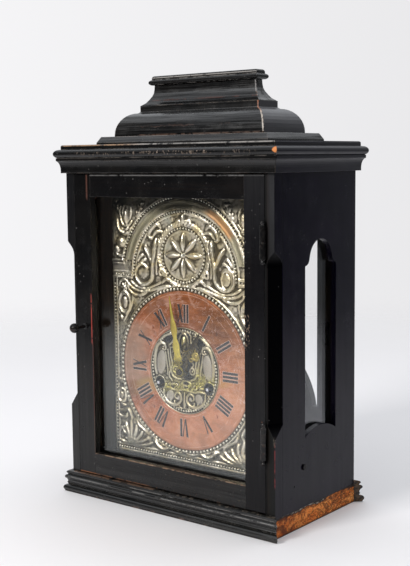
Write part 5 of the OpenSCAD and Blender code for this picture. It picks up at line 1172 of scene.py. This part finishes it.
# ---- centre disc in repousse
def centre_disc():
    nr, na = 108, 380
    rs = np.concatenate([[6.0], np.linspace(6.6, 50.9, nr)])
    an = np.linspace(0, 2 * np.pi, na, endpoint=False)
    RR, AA = np.meshgrid(rs, an)
    CX, CZ = RR * np.cos(AA), DZ + RR * np.sin(AA)
    # pull the grid towards the winding holes, so that their edges are round
    for sg in (1, -1):
        hx, hz, hr = sg * 36.3, 143.3, 5.9
        d = np.hypot(CX - hx, CZ - hz)
        push = d < hr + 1.4
        k = np.where(push, np.maximum(hr, hr + (d - hr) * 0.6) / np.maximum(d, 1e-3), 1)
        inside = d < hr * 0.74
        CX = np.where(push & ~inside, hx + (CX - hx) * k, CX)
        CZ = np.where(push & ~inside, hz + (CZ - hz) * k, CZ)
    q = Relief(CX, CZ)
    panel = np.zeros(CX.shape)
    # smooth swellings inside the scrolls and inside the low volutes
    for cx, cz, rx, rz, hh in ((34.4, 167.8, 6.6, 14.2, 1.1), (21.4, 129.4, 5.4, 6.0, 0.9), (8.6, 127.6, 2.2, 2.4, 0.5)):
        for sg in (1, -1):
            k = np.hypot((CX - sg * cx + sg * 0.12 * (CZ - cz)) / rx, (CZ - cz) / rz)
            q.put(hh * np.sqrt(np.clip(1 - k * k, 0, 1)))
            panel = np.maximum(panel, np.clip((1.12 - k) / 0.2, 0, 1))
    q.ringband(0, DZ, 50.3, 0.5, 1.1)
    q.ringband(0, DZ, 44.6, 0.5, 0.7, -165, -15)
    q.ringband(0, DZ, 8.2, 1.3, 1.2)
    for sg in (1, -1):
        q.ringband(sg * 36.3, 143.3, 7.1, 0.9, 0.9)
    # large C scroll on each side, its hook turned in at the top
    q.stroke([(32.0, 183.4, 0.9, 1.2), (28.6, 182.6, 1.2, 1.6), (26.9, 185.6, 1.5, 2.1), (29.0, 189.6, 1.9, 2.6), (34.2, 190.6, 2.3, 3.0), (39.2, 186.8, 2.5, 3.2), (42.2, 179.8, 2.5, 3.1), (43.3, 171.0, 2.4, 2.9), (43.2, 162.0, 2.3, 2.6), (41.4, 153.6, 1.8, 2.0)], True, 0, 18, 0.12)
    q.dome(30.6, 186.2, 1.3, 1.3, 1.8)
    q.dome(-30.6, 186.2, 1.3, 1.3, 1.8)
    # leaf along the rim, up to the black ground at the top
    q.stroke([(37.4, 191.8, 1.1, 1.4), (33.2, 196.0, 1.7, 2.4), (27.2, 199.8, 1.9, 2.6), (20.6, 202.2, 1.6, 2.2), (14.4, 202.8, 1.0, 1.5)], True, 0, 14, 0.2)
    q.stroke([(25.6, 203.6, 0.8, 1.0), (21.0, 205.4, 1.2, 1.5), (15.6, 206.2, 0.9, 1.2)], True)
    # ribs between the panel and the middle
    for pts in ([(27.6, 180.0), (26.2, 171.0), (24.4, 162.0), (24.6, 153.4)], [(24.2, 183.6), (22.6, 174.0), (20.8, 165.0), (20.4, 156.6)], [(20.6, 186.0), (19.4, 177.0), (17.6, 170.0), (17.0, 164.6)]):
        q.stroke([(x, z, (0.8, 1.3, 1.3, 0.8)[i], (1.0, 1.7, 1.8, 1.2)[i]) for i, (x, z) in enumerate(pts)], True, 0, 12)
    # upright oval in its frame, above the middle, and leaves beside it
    q.dome(0, 193.4, 3.5, 7.6, 2.8)
    q.oval(0, 192.8, 7.0, 11.6, 0.9, 1.7)
    q.stroke([(1.6, 205.2, 0.9, 1.1), (4.4, 206.6, 1.4, 1.9), (8.0, 205.4, 1.3, 1.8), (10.6, 202.0, 0.9, 1.2)], True, 0, 10)
    q.dome(4.0, 202.6, 1.2, 1.2, 1.9)
    q.dome(-3.4, 203.2, 1.0, 1.0, 1.6)
    q.stroke([(10.4, 200.4, 0.8, 1.0), (11.0, 194.0, 1.3, 1.7), (13.6, 188.4, 1.4, 1.9), (18.2, 186.4, 1.1, 1.4)], True, 0, 10, 0.15)
    q.stroke([(14.8, 199.0, 0.8, 1.0), (16.6, 193.6, 1.2, 1.6), (21.0, 189.8, 1.1, 1.4)], True, 0, 10)
    q.stroke([(9.4, 183.6, 0.8, 1.0), (12.8, 180.4, 1.3, 1.7), (14.4, 175.6, 1.2, 1.6), (12.0, 172.6, 0.8, 1.2)], True, 0, 10)
    q.stroke([(1.2, 180.6, 0.7, 0.8), (2.4, 174.6, 1.1, 1.3), (6.8, 170.4, 1.0, 1.2)], True, 0, 10)
    # volutes beside the middle
    for sg in (1, -1):
        q.ringband(sg * 12.4, 161.2, 3.7, 1.4, 2.3)
        q.dome(sg * 12.4, 161.2, 1.5, 1.5, 2.0)
        q.ringband(sg * 11.6, 169.0, 2.5, 1.0, 1.8)
    q.stroke([(17.4, 166.6, 0.9, 1.2), (18.8, 160.0, 1.4, 1.9), (16.6, 153.8, 1.5, 2.1), (10.6, 150.6, 1.3, 1.7), (4.6, 150.4, 0.8, 1.1)], True, 0, 12, 0.15)
    q.stroke([(22.0, 157.6, 0.9, 1.1), (21.8, 151.6, 1.3, 1.7), (18.0, 147.4, 1.2, 1.5)], True, 0, 10)
    q.oval(3.0, 146.0, 6.4, 3.0, 0.9, 1.8)
    # band of small leaves across the lower half, between the winding holes
    rg = np.random.RandomState(23)
    for i in range(34):
        x = -28.0 + 56.0 * i / 33
        z = 141.4 + 0.06 * x + rg.uniform(-2.6, 3.4)
        t = math.radians(rg.uniform(15, 70)) * (1 if x > 0 else -1)
        dx, dz, w = 2.1 * math.cos(t), 2.1 * abs(math.sin(t)), rg.uniform(0.9, 1.35)
        q.stroke([(x - dx, z - dz, w * 0.6, 1.0), (x, z, w, 1.9 + rg.uniform(-0.4, 0.5)), (x + dx, z + dz, w * 0.7, 1.2)], False, 0, 6)
    q.stroke([(30.6, 137.4, 1.0, 1.3), (23.0, 138.4, 1.6, 2.2), (15.0, 136.8, 1.4, 1.9), (7.0, 137.4, 1.3, 1.7), (0, 138.6, 1.3, 1.7)], True, 0, 12, 0.15)
    # low volutes, the pendant leaf between them, and fillings towards the rim
    q.stroke([(31.0, 135.4, 1.0, 1.2), (30.2, 128.6, 1.6, 2.2), (25.6, 122.6, 2.1, 2.9), (18.0, 119.4, 2.3, 3.2), (10.2, 120.0, 2.3, 3.2), (5.0, 124.6, 2.0, 2.9), (4.6, 130.6, 1.7, 2.5), (8.8, 134.2, 1.5, 2.2), (13.4, 132.2, 1.3, 1.9), (13.8, 127.8, 1.1, 1.6), (10.4, 126.4, 1.0, 1.5)], True, 0, 16, 0.12)
    q.stroke([(0, 134.6, 0.9, 1.1), (0, 129.0, 1.7, 1.6), (0, 122.0, 2.3, 2.1), (0, 117.2, 2.0, 2.2)], False, 0.4)
    q.stroke([(36.6, 133.0, 0.9, 1.2), (34.6, 126.4, 1.4, 1.8), (29.0, 120.4, 1.2, 1.6)], True, 0, 10)
    q.stroke([(42.6, 149.6, 0.8, 1.0), (44.0, 143.0, 1.2, 1.6), (41.8, 135.8, 1.1, 1.4)], True, 0, 10)
    q.stroke([(4.0, 115.8, 0.8, 1.0), (9.0, 115.8, 1.1, 1.4), (13.6, 117.0, 0.7, 0.9)], True, 0, 8)
    for a in list(range(207, 262, 9)) + list(range(279, 336, 9)):
        t, sg = math.radians(a), (1 if a > 270 else -1)
        q.stroke([(44.6 * math.cos(t), DZ + 44.6 * math.sin(t), 0.8, 1.0), (42.6 * math.cos(t + 0.02 * sg), DZ + 42.6 * math.sin(t + 0.02 * sg), 1.3, 1.9), (40.2 * math.cos(t + 0.07 * sg), DZ + 40.2 * math.sin(t + 0.07 * sg), 1.0, 1.3)], False, 0, 6)
    hh = q.h - q.groove
    ground_ = np.clip(1 - hh / 0.6, 0, 1) * (1 - panel)
    lacq = (q.h < 0.8) & (RR < 45.6) & ((np.abs(CX) < 9.5) & (CZ > 199.5) | (np.abs(CX) > 16.0) & (np.abs(CX) < 29.0) & (CZ > 192.0) & (CZ < 201.5))
    d = value_noise(CX.shape, 4.0, 31) * 0.5 + value_noise(CX.shape, 9.0, 32) * 0.5
    hh = hh + np.where(lacq, 0, ground_ * (d - 0.3) * 0.7) + 0.25 * value_noise(CX.shape, 16.0, 33)
    hh = np.clip(hh, 0, 3.6)
    mean = hh.copy()
    for _ in range(14):
        mean = (mean + np.roll(mean, 1, 0) + np.roll(mean, -1, 0) + np.vstack([mean[:, 0], mean[:, :-1].T]).T + np.vstack([mean[:, 1:].T, mean[:, -1]]).T) / 5
    fine = value_noise(CX.shape, 2.6, 41) * 0.6 + value_noise(CX.shape, 5.2, 42) * 0.4
    hh = np.clip(hh + np.clip(hh / 1.2, 0, 1) * (fine - 0.5) * 0.85 * (1 - 0.8 * panel), 0, 3.6)
    # hollows darkened, as tarnish and painted shade, darkest at the seat of the bead row; raised places lightened, as
    # polish and a painted highlight
    cav = np.clip((mean - hh) * 1.35 + ground_ * 0.36, 0, 1)
    cav = np.where((np.abs(RR - 47.3) < 2.1) & (hh < 1.2), np.maximum(cav, 0.66), cav)
    hi = np.clip((hh - mean) * 0.8, 0, 1)
    # gilding in places, and a painted reflection: a gold band across the lower half and a patch at the lower right
    disc_reflection_band = np.exp(-((CZ - 142.0 - 0.12 * CX) / 6.5) ** 2) * np.clip((34 - np.abs(CX)) / 8, 0, 1)
    disc_reflection_right = np.exp(-np.hypot((CX - 36) / 16, (CZ - 153) / 5.5) ** 2)
    hand_side = np.exp(-np.hypot((CX + 12) / 7, (CZ - 163) / 11) ** 2)
    gilt = np.clip(disc_reflection_band + disc_reflection_right + hand_side + 0.9 * np.exp(-np.hypot(CX / 3.4, (CZ - 193.4) / 7.4) ** 2) + 0.8 * np.exp(-np.hypot((CX - 22) / 5, (CZ - 160) / 9) ** 2), 0, 1)
    rot = ((CX - 7.0) * 0.94 - (CZ - 169.0) * 0.34, (CX - 7.0) * 0.34 + (CZ - 169.0) * 0.94)
    shade = np.clip(1.5 - 1.0 * np.hypot(rot[0] / 5.4, rot[1] / 9.0), 0, 1)
    shade = np.maximum(shade, np.clip(1.5 - np.hypot((CX - 5.5) / 7.0, (CZ - 155.5) / 6.0), 0, 1))
    shade = np.maximum(shade, np.clip(1.4 - np.hypot(CX - 2.0, CZ - DZ) / 7.5, 0, 1))
    frame_ = np.abs(np.hypot(CX / 5.2, (CZ - 193.0) / 9.4) - 1)
    shade = np.maximum(shade, np.clip(1.2 - frame_ / 0.16, 0, 1) * 0.95)
    shade = np.maximum(shade, np.clip(1.3 - np.hypot((CX - 3.0) / 5.2, (CZ - 146.0) / 2.2), 0, 1) * 0.8)
    for sg in (1, -1):
        shade = np.maximum(shade, np.clip((8.4 - np.hypot(CX - sg * 36.3, CZ - 143.3)) / 1.6, 0, 1) * 0.85)
    n_r = len(rs)
    verts = np.stack([CX, YP - 0.9 - hh * 0.72, CZ], -1).reshape(-1, 3)
    inside_any = np.zeros(CX.shape, bool)
    for sg in (1, -1):
        inside_any |= np.hypot(CX - sg * 36.3, CZ - 143.3) < 5.7
    faces, mats = [], []
    for k in range(na):
        k2 = (k + 1) % na
        for i in range(n_r - 1):
            if inside_any[k, i] or inside_any[k2, i] or inside_any[k, i + 1] or inside_any[k2, i + 1]:
                continue
            faces.append((k * n_r + i, k2 * n_r + i, k2 * n_r + i + 1, k * n_r + i + 1))
            mats.append(1 if lacq[k, i] and lacq[k2, i + 1] else 0)
    # hems: outer rim and the walls of the three holes run back to the plate
    edge = {}
    for f in faces:
        for p, w in zip(f, f[1:] + f[:1]):
            if (w, p) in edge:
                del edge[(w, p)]
            else:
                edge[(p, w)] = True
    vb = sorted({v for e in edge for v in e})
    bm = {v: len(verts) + i for i, v in enumerate(vb)}
    extra = verts[vb].copy()
    extra[:, 1] = YP
    verts = np.vstack([verts, extra])
    for p, w in edge:
        faces.append((w, p, bm[p], bm[w]))
        mats.append(0)
    # the hems take the darkest values: painted shade inside the holes and under the rim
    tail = lambda a, v: np.concatenate([a.ravel(), np.full(len(vb), v)])
    at = {"cavity": tail(cav, 1.0), "band": np.zeros(len(verts)), "high": tail(hi, 0.0), "gilt": tail(gilt, 0.0), "panel": tail(panel, 0.0), "shade": tail(shade, 0.8)}
    faces = [f[::-1] for f in faces]
    o = mesh_piece("dial_centre_repousse", verts, faces, SILVER_C, "case", ("dial_centre",), True, at)
    o.data.materials.append(BLACK_LACQUER)
    o.data.polygons.foreach_set("material_index", mats)
    return o


centre_disc()
bead_v, bead_f, bead_a = [], [], []
bead_arc(0, DZ, 47.2, 0, 360, 3.75, 1.45, YP - 1.0, 1.55, 1.1, 0.4)
# bead caps lightened as a painted highlight, their feet darkened as painted shade
mesh_piece("dial_centre_beads", bead_v, bead_f, SILVER_C, "case", (), True,
           {"cavity": bead_a, "band": [0.0] * len(bead_v), "high": [1.0 - 1.3 * a for a in bead_a]})


# ---- hands, carved and pierced
def hand_loft(rows, y_back, crown, angle_deg, cuts=()):
    """rows are (distance from centre, half width). Returns verts and faces of a blade with a rounded front."""
    a = math.radians(90 - angle_deg)
    u, t = (math.cos(a), math.sin(a)), (math.sin(a), -math.cos(a))
    prof = [(-1.0, 0.0), (-0.82, 0.55), (-0.45, 0.9), (0.0, 1.0), (0.45, 0.9), (0.82, 0.55), (1.0, 0.0)]
    V, F = [], []
    for r, w in rows:
        for px, ph in prof:
            V.append((u[0] * r + t[0] * px * w, y_back - crown * (0.35 + 0.65 * ph) * min(1.0, 0.45 + w / 3.0), DZ + u[1] * r + t[1] * px * w))
        for px in (1.0, -1.0):
            V.append((u[0] * r + t[0] * px * w, y_back, DZ + u[1] * r + t[1] * px * w))
    m = len(prof) + 2
    for i in range(len(rows) - 1):
        for j in range(m):
            j2 = (j + 1) % m
            F.append((i * m + j, i * m + j2, (i + 1) * m + j2, (i + 1) * m + j))
    F.append(tuple(reversed(range(m))))
    F.append(tuple((len(rows) - 1) * m + j for j in range(m)))
    return V, F


def smooth_rows(pts, n=5):
    p = smooth_path([(a, b, 0, 0) for a, b in pts], n)
    return [(float(q[0]), max(0.25, float(q[1]))) for q in p]


def torus(cx, cz, r, w, y_back, crown, seg=28):
    prof = [(-1.0, 0.0), (-0.7, 0.7), (0.0, 1.0), (0.7, 0.7), (1.0, 0.0), (1.0, None), (-1.0, None)]
    V, F = [], []
    m = len(prof)
    for k in range(seg):
        a = 2 * math.pi * k / seg
        for px, ph in prof:
            y = y_back if ph is None else y_back - crown * (0.35 + 0.65 * ph)
            V.append((cx + (r + px * w) * math.cos(a), y, cz + (r + px * w) * math.sin(a)))
    for k in range(seg):
        k2 = (k + 1) % seg
        for j in range(m):
            j2 = (j + 1) % m
            F.append((k * m + j, k2 * m + j, k2 * m + j2, k * m + j2))
    return V, F


def ball(cx, cz, r, y_back, crown, seg=20, rings=5):
    V, F = [], []
    for i in range(rings):
        t = (math.pi / 2) * i / rings
        for k in range(seg):
            f = 2 * math.pi * k / seg
            V.append((cx + r * math.cos(t) * math.cos(f), y_back - crown * math.sin(t), cz + r * math.cos(t) * math.sin(f)))
    V.append((cx, y_back - crown, cz))
    for i in range(rings - 1):
        for k in range(seg):
            k2 = (k + 1) % seg
            F.append((i * seg + k, i * seg + k2, (i + 1) * seg + k2, (i + 1) * seg + k))
    for k in range(seg):
        F.append(((rings - 1) * seg + k, (rings - 1) * seg + (k + 1) % seg, rings * seg))
    F.append(tuple(reversed(range(seg))))
    return V, F


def join(parts):
    V, F = [], []
    for v, f in parts:
        b = len(V)
        V += v
        F += [tuple(i + b for i in q) for q in f]
    return V, F


def along(angle_deg, r, x):
    a = math.radians(90 - angle_deg)
    return r * math.cos(a) + x * math.sin(a), DZ + r * math.sin(a) - x * math.cos(a)


MIN_AT, HOUR_AT = -9.5, 30.0
MIN_Y, HOUR_Y = YP - 9.1, YP - 6.2


def minute_hand():
    parts = []
    rows = smooth_rows([(12.6, 3.4), (14.6, 5.2), (17.5, 5.3), (21, 4.5), (26, 5.0), (30.5, 5.2), (35, 4.1), (39.5, 2.9), (44, 3.7), (49.2, 4.9), (54, 4.3), (59, 3.0), (64, 2.3), (72, 1.7), (80, 1.05), (88.3, 0.3)], 6)
    # notched edge along the root of the blade
    rows = [(r, w * (1 + (0.09 * math.sin(r * 2.4) if r < 33 else 0))) for r, w in rows]
    parts.append(hand_loft(rows, MIN_Y, 1.0, MIN_AT))
    for x in (-3.4, 3.4):
        px, pz = along(MIN_AT, 10.4, x)
        parts.append(torus(px, pz, 2.2, 0.95, MIN_Y, 0.95, 22))
        px, pz = along(MIN_AT, 15.6, x * 1.25)
        parts.append(torus(px, pz, 1.3, 0.75, MIN_Y, 1.0, 18))
    px, pz = along(MIN_AT, 16.0, 0)
    parts.append(torus(px, pz, 1.6, 0.8, MIN_Y, 1.05, 18))
    parts.append(torus(0, DZ, 4.3, 1.3, MIN_Y, 0.9, 32))
    parts.append(hand_loft(smooth_rows([(5.0, 2.2), (7.5, 1.6), (10.5, 1.0), (14.5, 1.6)], 4), MIN_Y, 0.8, MIN_AT))
    V, F = join(parts)
    return mesh_piece("minute_hand_gilt", V, F, GILT, "centre_arbor", ("minute_hand",), True)


def hour_hand():
    parts = []
    parts.append(torus(0, DZ, 5.6, 1.8, HOUR_Y, 0.9, 36))
    parts.append(hand_loft(smooth_rows([(6.2, 3.0), (9.2, 4.4), (12.4, 3.9), (15.6, 2.0), (18.6, 1.9), (21.4, 3.0), (24.2, 2.4)], 5), HOUR_Y, 0.85, HOUR_AT))
    # pierced heart: a ring on the left, a ball in its ring on the right, curls between and a small ring in the middle
    for s in (-1, 1):
        px, pz = along(HOUR_AT, 27.4, s * 8.6)
        parts.append(torus(px, pz, 4.15, 1.4, HOUR_Y, 0.9, 30))
        px, pz = along(HOUR_AT, 20.2, s * 5.0)
        parts.append(torus(px, pz, 2.0, 0.8, HOUR_Y, 0.8, 20))
        px, pz = along(HOUR_AT, 34.4, s * 4.4)
        parts.append(torus(px, pz, 1.7, 0.8, HOUR_Y, 0.8, 18))
    px, pz = along(HOUR_AT, 27.4, 8.6)
    parts.append(ball(px, pz, 2.9, HOUR_Y, 1.1))
    px, pz = along(HOUR_AT, 27.6, 0)
    parts.append(torus(px, pz, 3.2, 1.2, HOUR_Y, 0.85, 26))
    parts.append(hand_loft(smooth_rows([(30.6, 1.6), (33.6, 1.9), (36.6, 3.3), (40, 4.1), (43.6, 3.1), (47.6, 1.9), (51.5, 1.2), (54.9, 0.4)], 5), HOUR_Y, 0.9, HOUR_AT))
    V, F = join(parts)
    return mesh_piece("hour_hand_gilt", V, F, GILT_DARK, "hour_pipe", ("hour_hand",), True)


minute_hand()
hour_hand()

# ------------------------------------------------------------------ stage, light and camera


def plane(name, size, z, mat):
    me = bpy.data.meshes.new(name)
    s = size / 2
    me.from_pydata([(-s, -s, z), (s, -s, z), (s, s, z), (-s, s, z)], [], [(0, 1, 2, 3)])
    me.materials.append(mat)
    o = bpy.data.objects.new(name, me)
    bpy.context.scene.collection.objects.link(o)
    return o


plane("studio_floor", 6.0, -0.0002, paper())


def area(name, pos, target, size, power, color=(1, 1, 1), size_y=None):
    d = bpy.data.lights.new(name, "AREA")
    d.shape = "RECTANGLE"
    d.size, d.size_y = size, size_y or size
    d.energy = power
    d.color = color
    o = bpy.data.objects.new(name, d)
    o.location = pos
    o.rotation_mode = "QUATERNION"
    o.rotation_quaternion = (Vector(target) - Vector(pos)).to_track_quat("-Z", "Y")
    bpy.context.scene.collection.objects.link(o)
    return o


area("key", (-0.42, -2.42, 1.48), (0.0, -0.05, 0.24), 0.8, 54, (1.0, 0.985, 0.97), 0.8)
area("overhead", (0.25, 0.55, 2.3), (0.0, 0.0, 0.2), 1.0, 9, (0.97, 0.985, 1.0), 1.0)

WORLD_DIM, WORLD_BACK, WORLD_TOP = 0.045, 0.56, 0.70
world = bpy.data.worlds.new("studio")
bpy.context.scene.world = world
world.use_nodes = True
wt = world.node_tree
wt.nodes.clear()
wo = wt.nodes.new("ShaderNodeOutputWorld")
bg = wt.nodes.new("ShaderNodeBackground")
bg2 = wt.nodes.new("ShaderNodeBackground")
ms = wt.nodes.new("ShaderNodeMixShader")
lp = wt.nodes.new("ShaderNodeLightPath")
wg = wt.nodes.new("ShaderNodeTexCoord")


def w_math(kind, a, b):
    n = wt.nodes.new("ShaderNodeMath")
    n.operation = kind
    for i, v in enumerate((a, b)):
        if isinstance(v, bpy.types.NodeSocket):
            wt.links.new(v, n.inputs[i])
        else:
            n.inputs[i].default_value = v
    return n.outputs[0]


def w_dot(v):
    n = wt.nodes.new("ShaderNodeVectorMath")
    n.operation = "DOT_PRODUCT"
    wt.links.new(wg.outputs["Generated"], n.inputs[0])
    n.inputs[1].default_value = v
    return n.outputs["Value"]


def w_step(v, a, b, lo, hi):
    n = wt.nodes.new("ShaderNodeMapRange")
    n.interpolation_type = "SMOOTHSTEP"
    wt.links.new(v, n.inputs["Value"])
    for k, w in zip(("From Min", "From Max", "To Min", "To Max"), (a, b, lo, hi)):
        n.inputs[k].default_value = w
    return n.outputs[0]


# a lit white backdrop on one side of the studio, a grey ceiling, and dark elsewhere
back = w_step(w_dot((-0.626, 0.780, 0.0)), 0.26, 0.46, 0.0, WORLD_BACK)
ceil = w_step(w_dot((0.0, 0.0, 1.0)), 0.34, 0.66, 0.0, WORLD_TOP)
bg.inputs[0].default_value = (0.93, 0.96, 1.0, 1)
wt.links.new(w_math("ADD", w_math("ADD", back, ceil), WORLD_DIM), bg.inputs[1])
# what the camera sees of it: almost white, a little brighter to the left
bg2.inputs[0].default_value = (1.0, 0.995, 1.012, 1)
tilt = w_math("MAXIMUM", w_math("MINIMUM", w_dot((0.780, 0.626, 0.0)), 0.2), -0.2)
wt.links.new(w_math("SUBTRACT", 0.872, w_math("MULTIPLY", tilt, 0.24)), bg2.inputs[1])
wt.links.new(lp.outputs["Is Camera Ray"], ms.inputs[0])
wt.links.new(bg.outputs[0], ms.inputs[1])
wt.links.new(bg2.outputs[0], ms.inputs[2])
wt.links.new(ms.outputs[0], wo.inputs[0])

cam_d = bpy.data.cameras.new("camera")
cam = bpy.data.objects.new("camera", cam_d)
bpy.context.scene.collection.objects.link(cam)
cam.location = (0.78282, -1.00868, 0.40325)
az, el, roll = math.radians(38.727), math.radians(6.537), math.radians(-0.6505)
fwd = Vector((-math.sin(az) * math.cos(el), math.cos(az) * math.cos(el), -math.sin(el)))
right = Vector((math.cos(az), math.sin(az), 0.0))
up_v = right.cross(fwd)
r2 = math.cos(roll) * right + math.sin(roll) * up_v
u2 = -math.sin(roll) * right + math.cos(roll) * up_v
from mathutils import Matrix
cam.rotation_mode = "QUATERNION"
cam.rotation_quaternion = Matrix((r2, u2, -fwd)).transposed().to_quaternion()
cam_d.sensor_fit = "AUTO"
cam_d.sensor_width = 36.0
cam_d.lens = 1087.96 / 566.0 * 36.0
cam_d.shift_x = -(191.40 - 205.0) / 566.0
cam_d.shift_y = (284.41 - 283.0) / 566.0
cam_d.clip_start, cam_d.clip_end = 0.05, 30.0
bpy.context.scene.camera = cam
bpy.context.scene.view_settings.view_transform = "Standard"
bpy.context.scene.view_settings.look = "None"
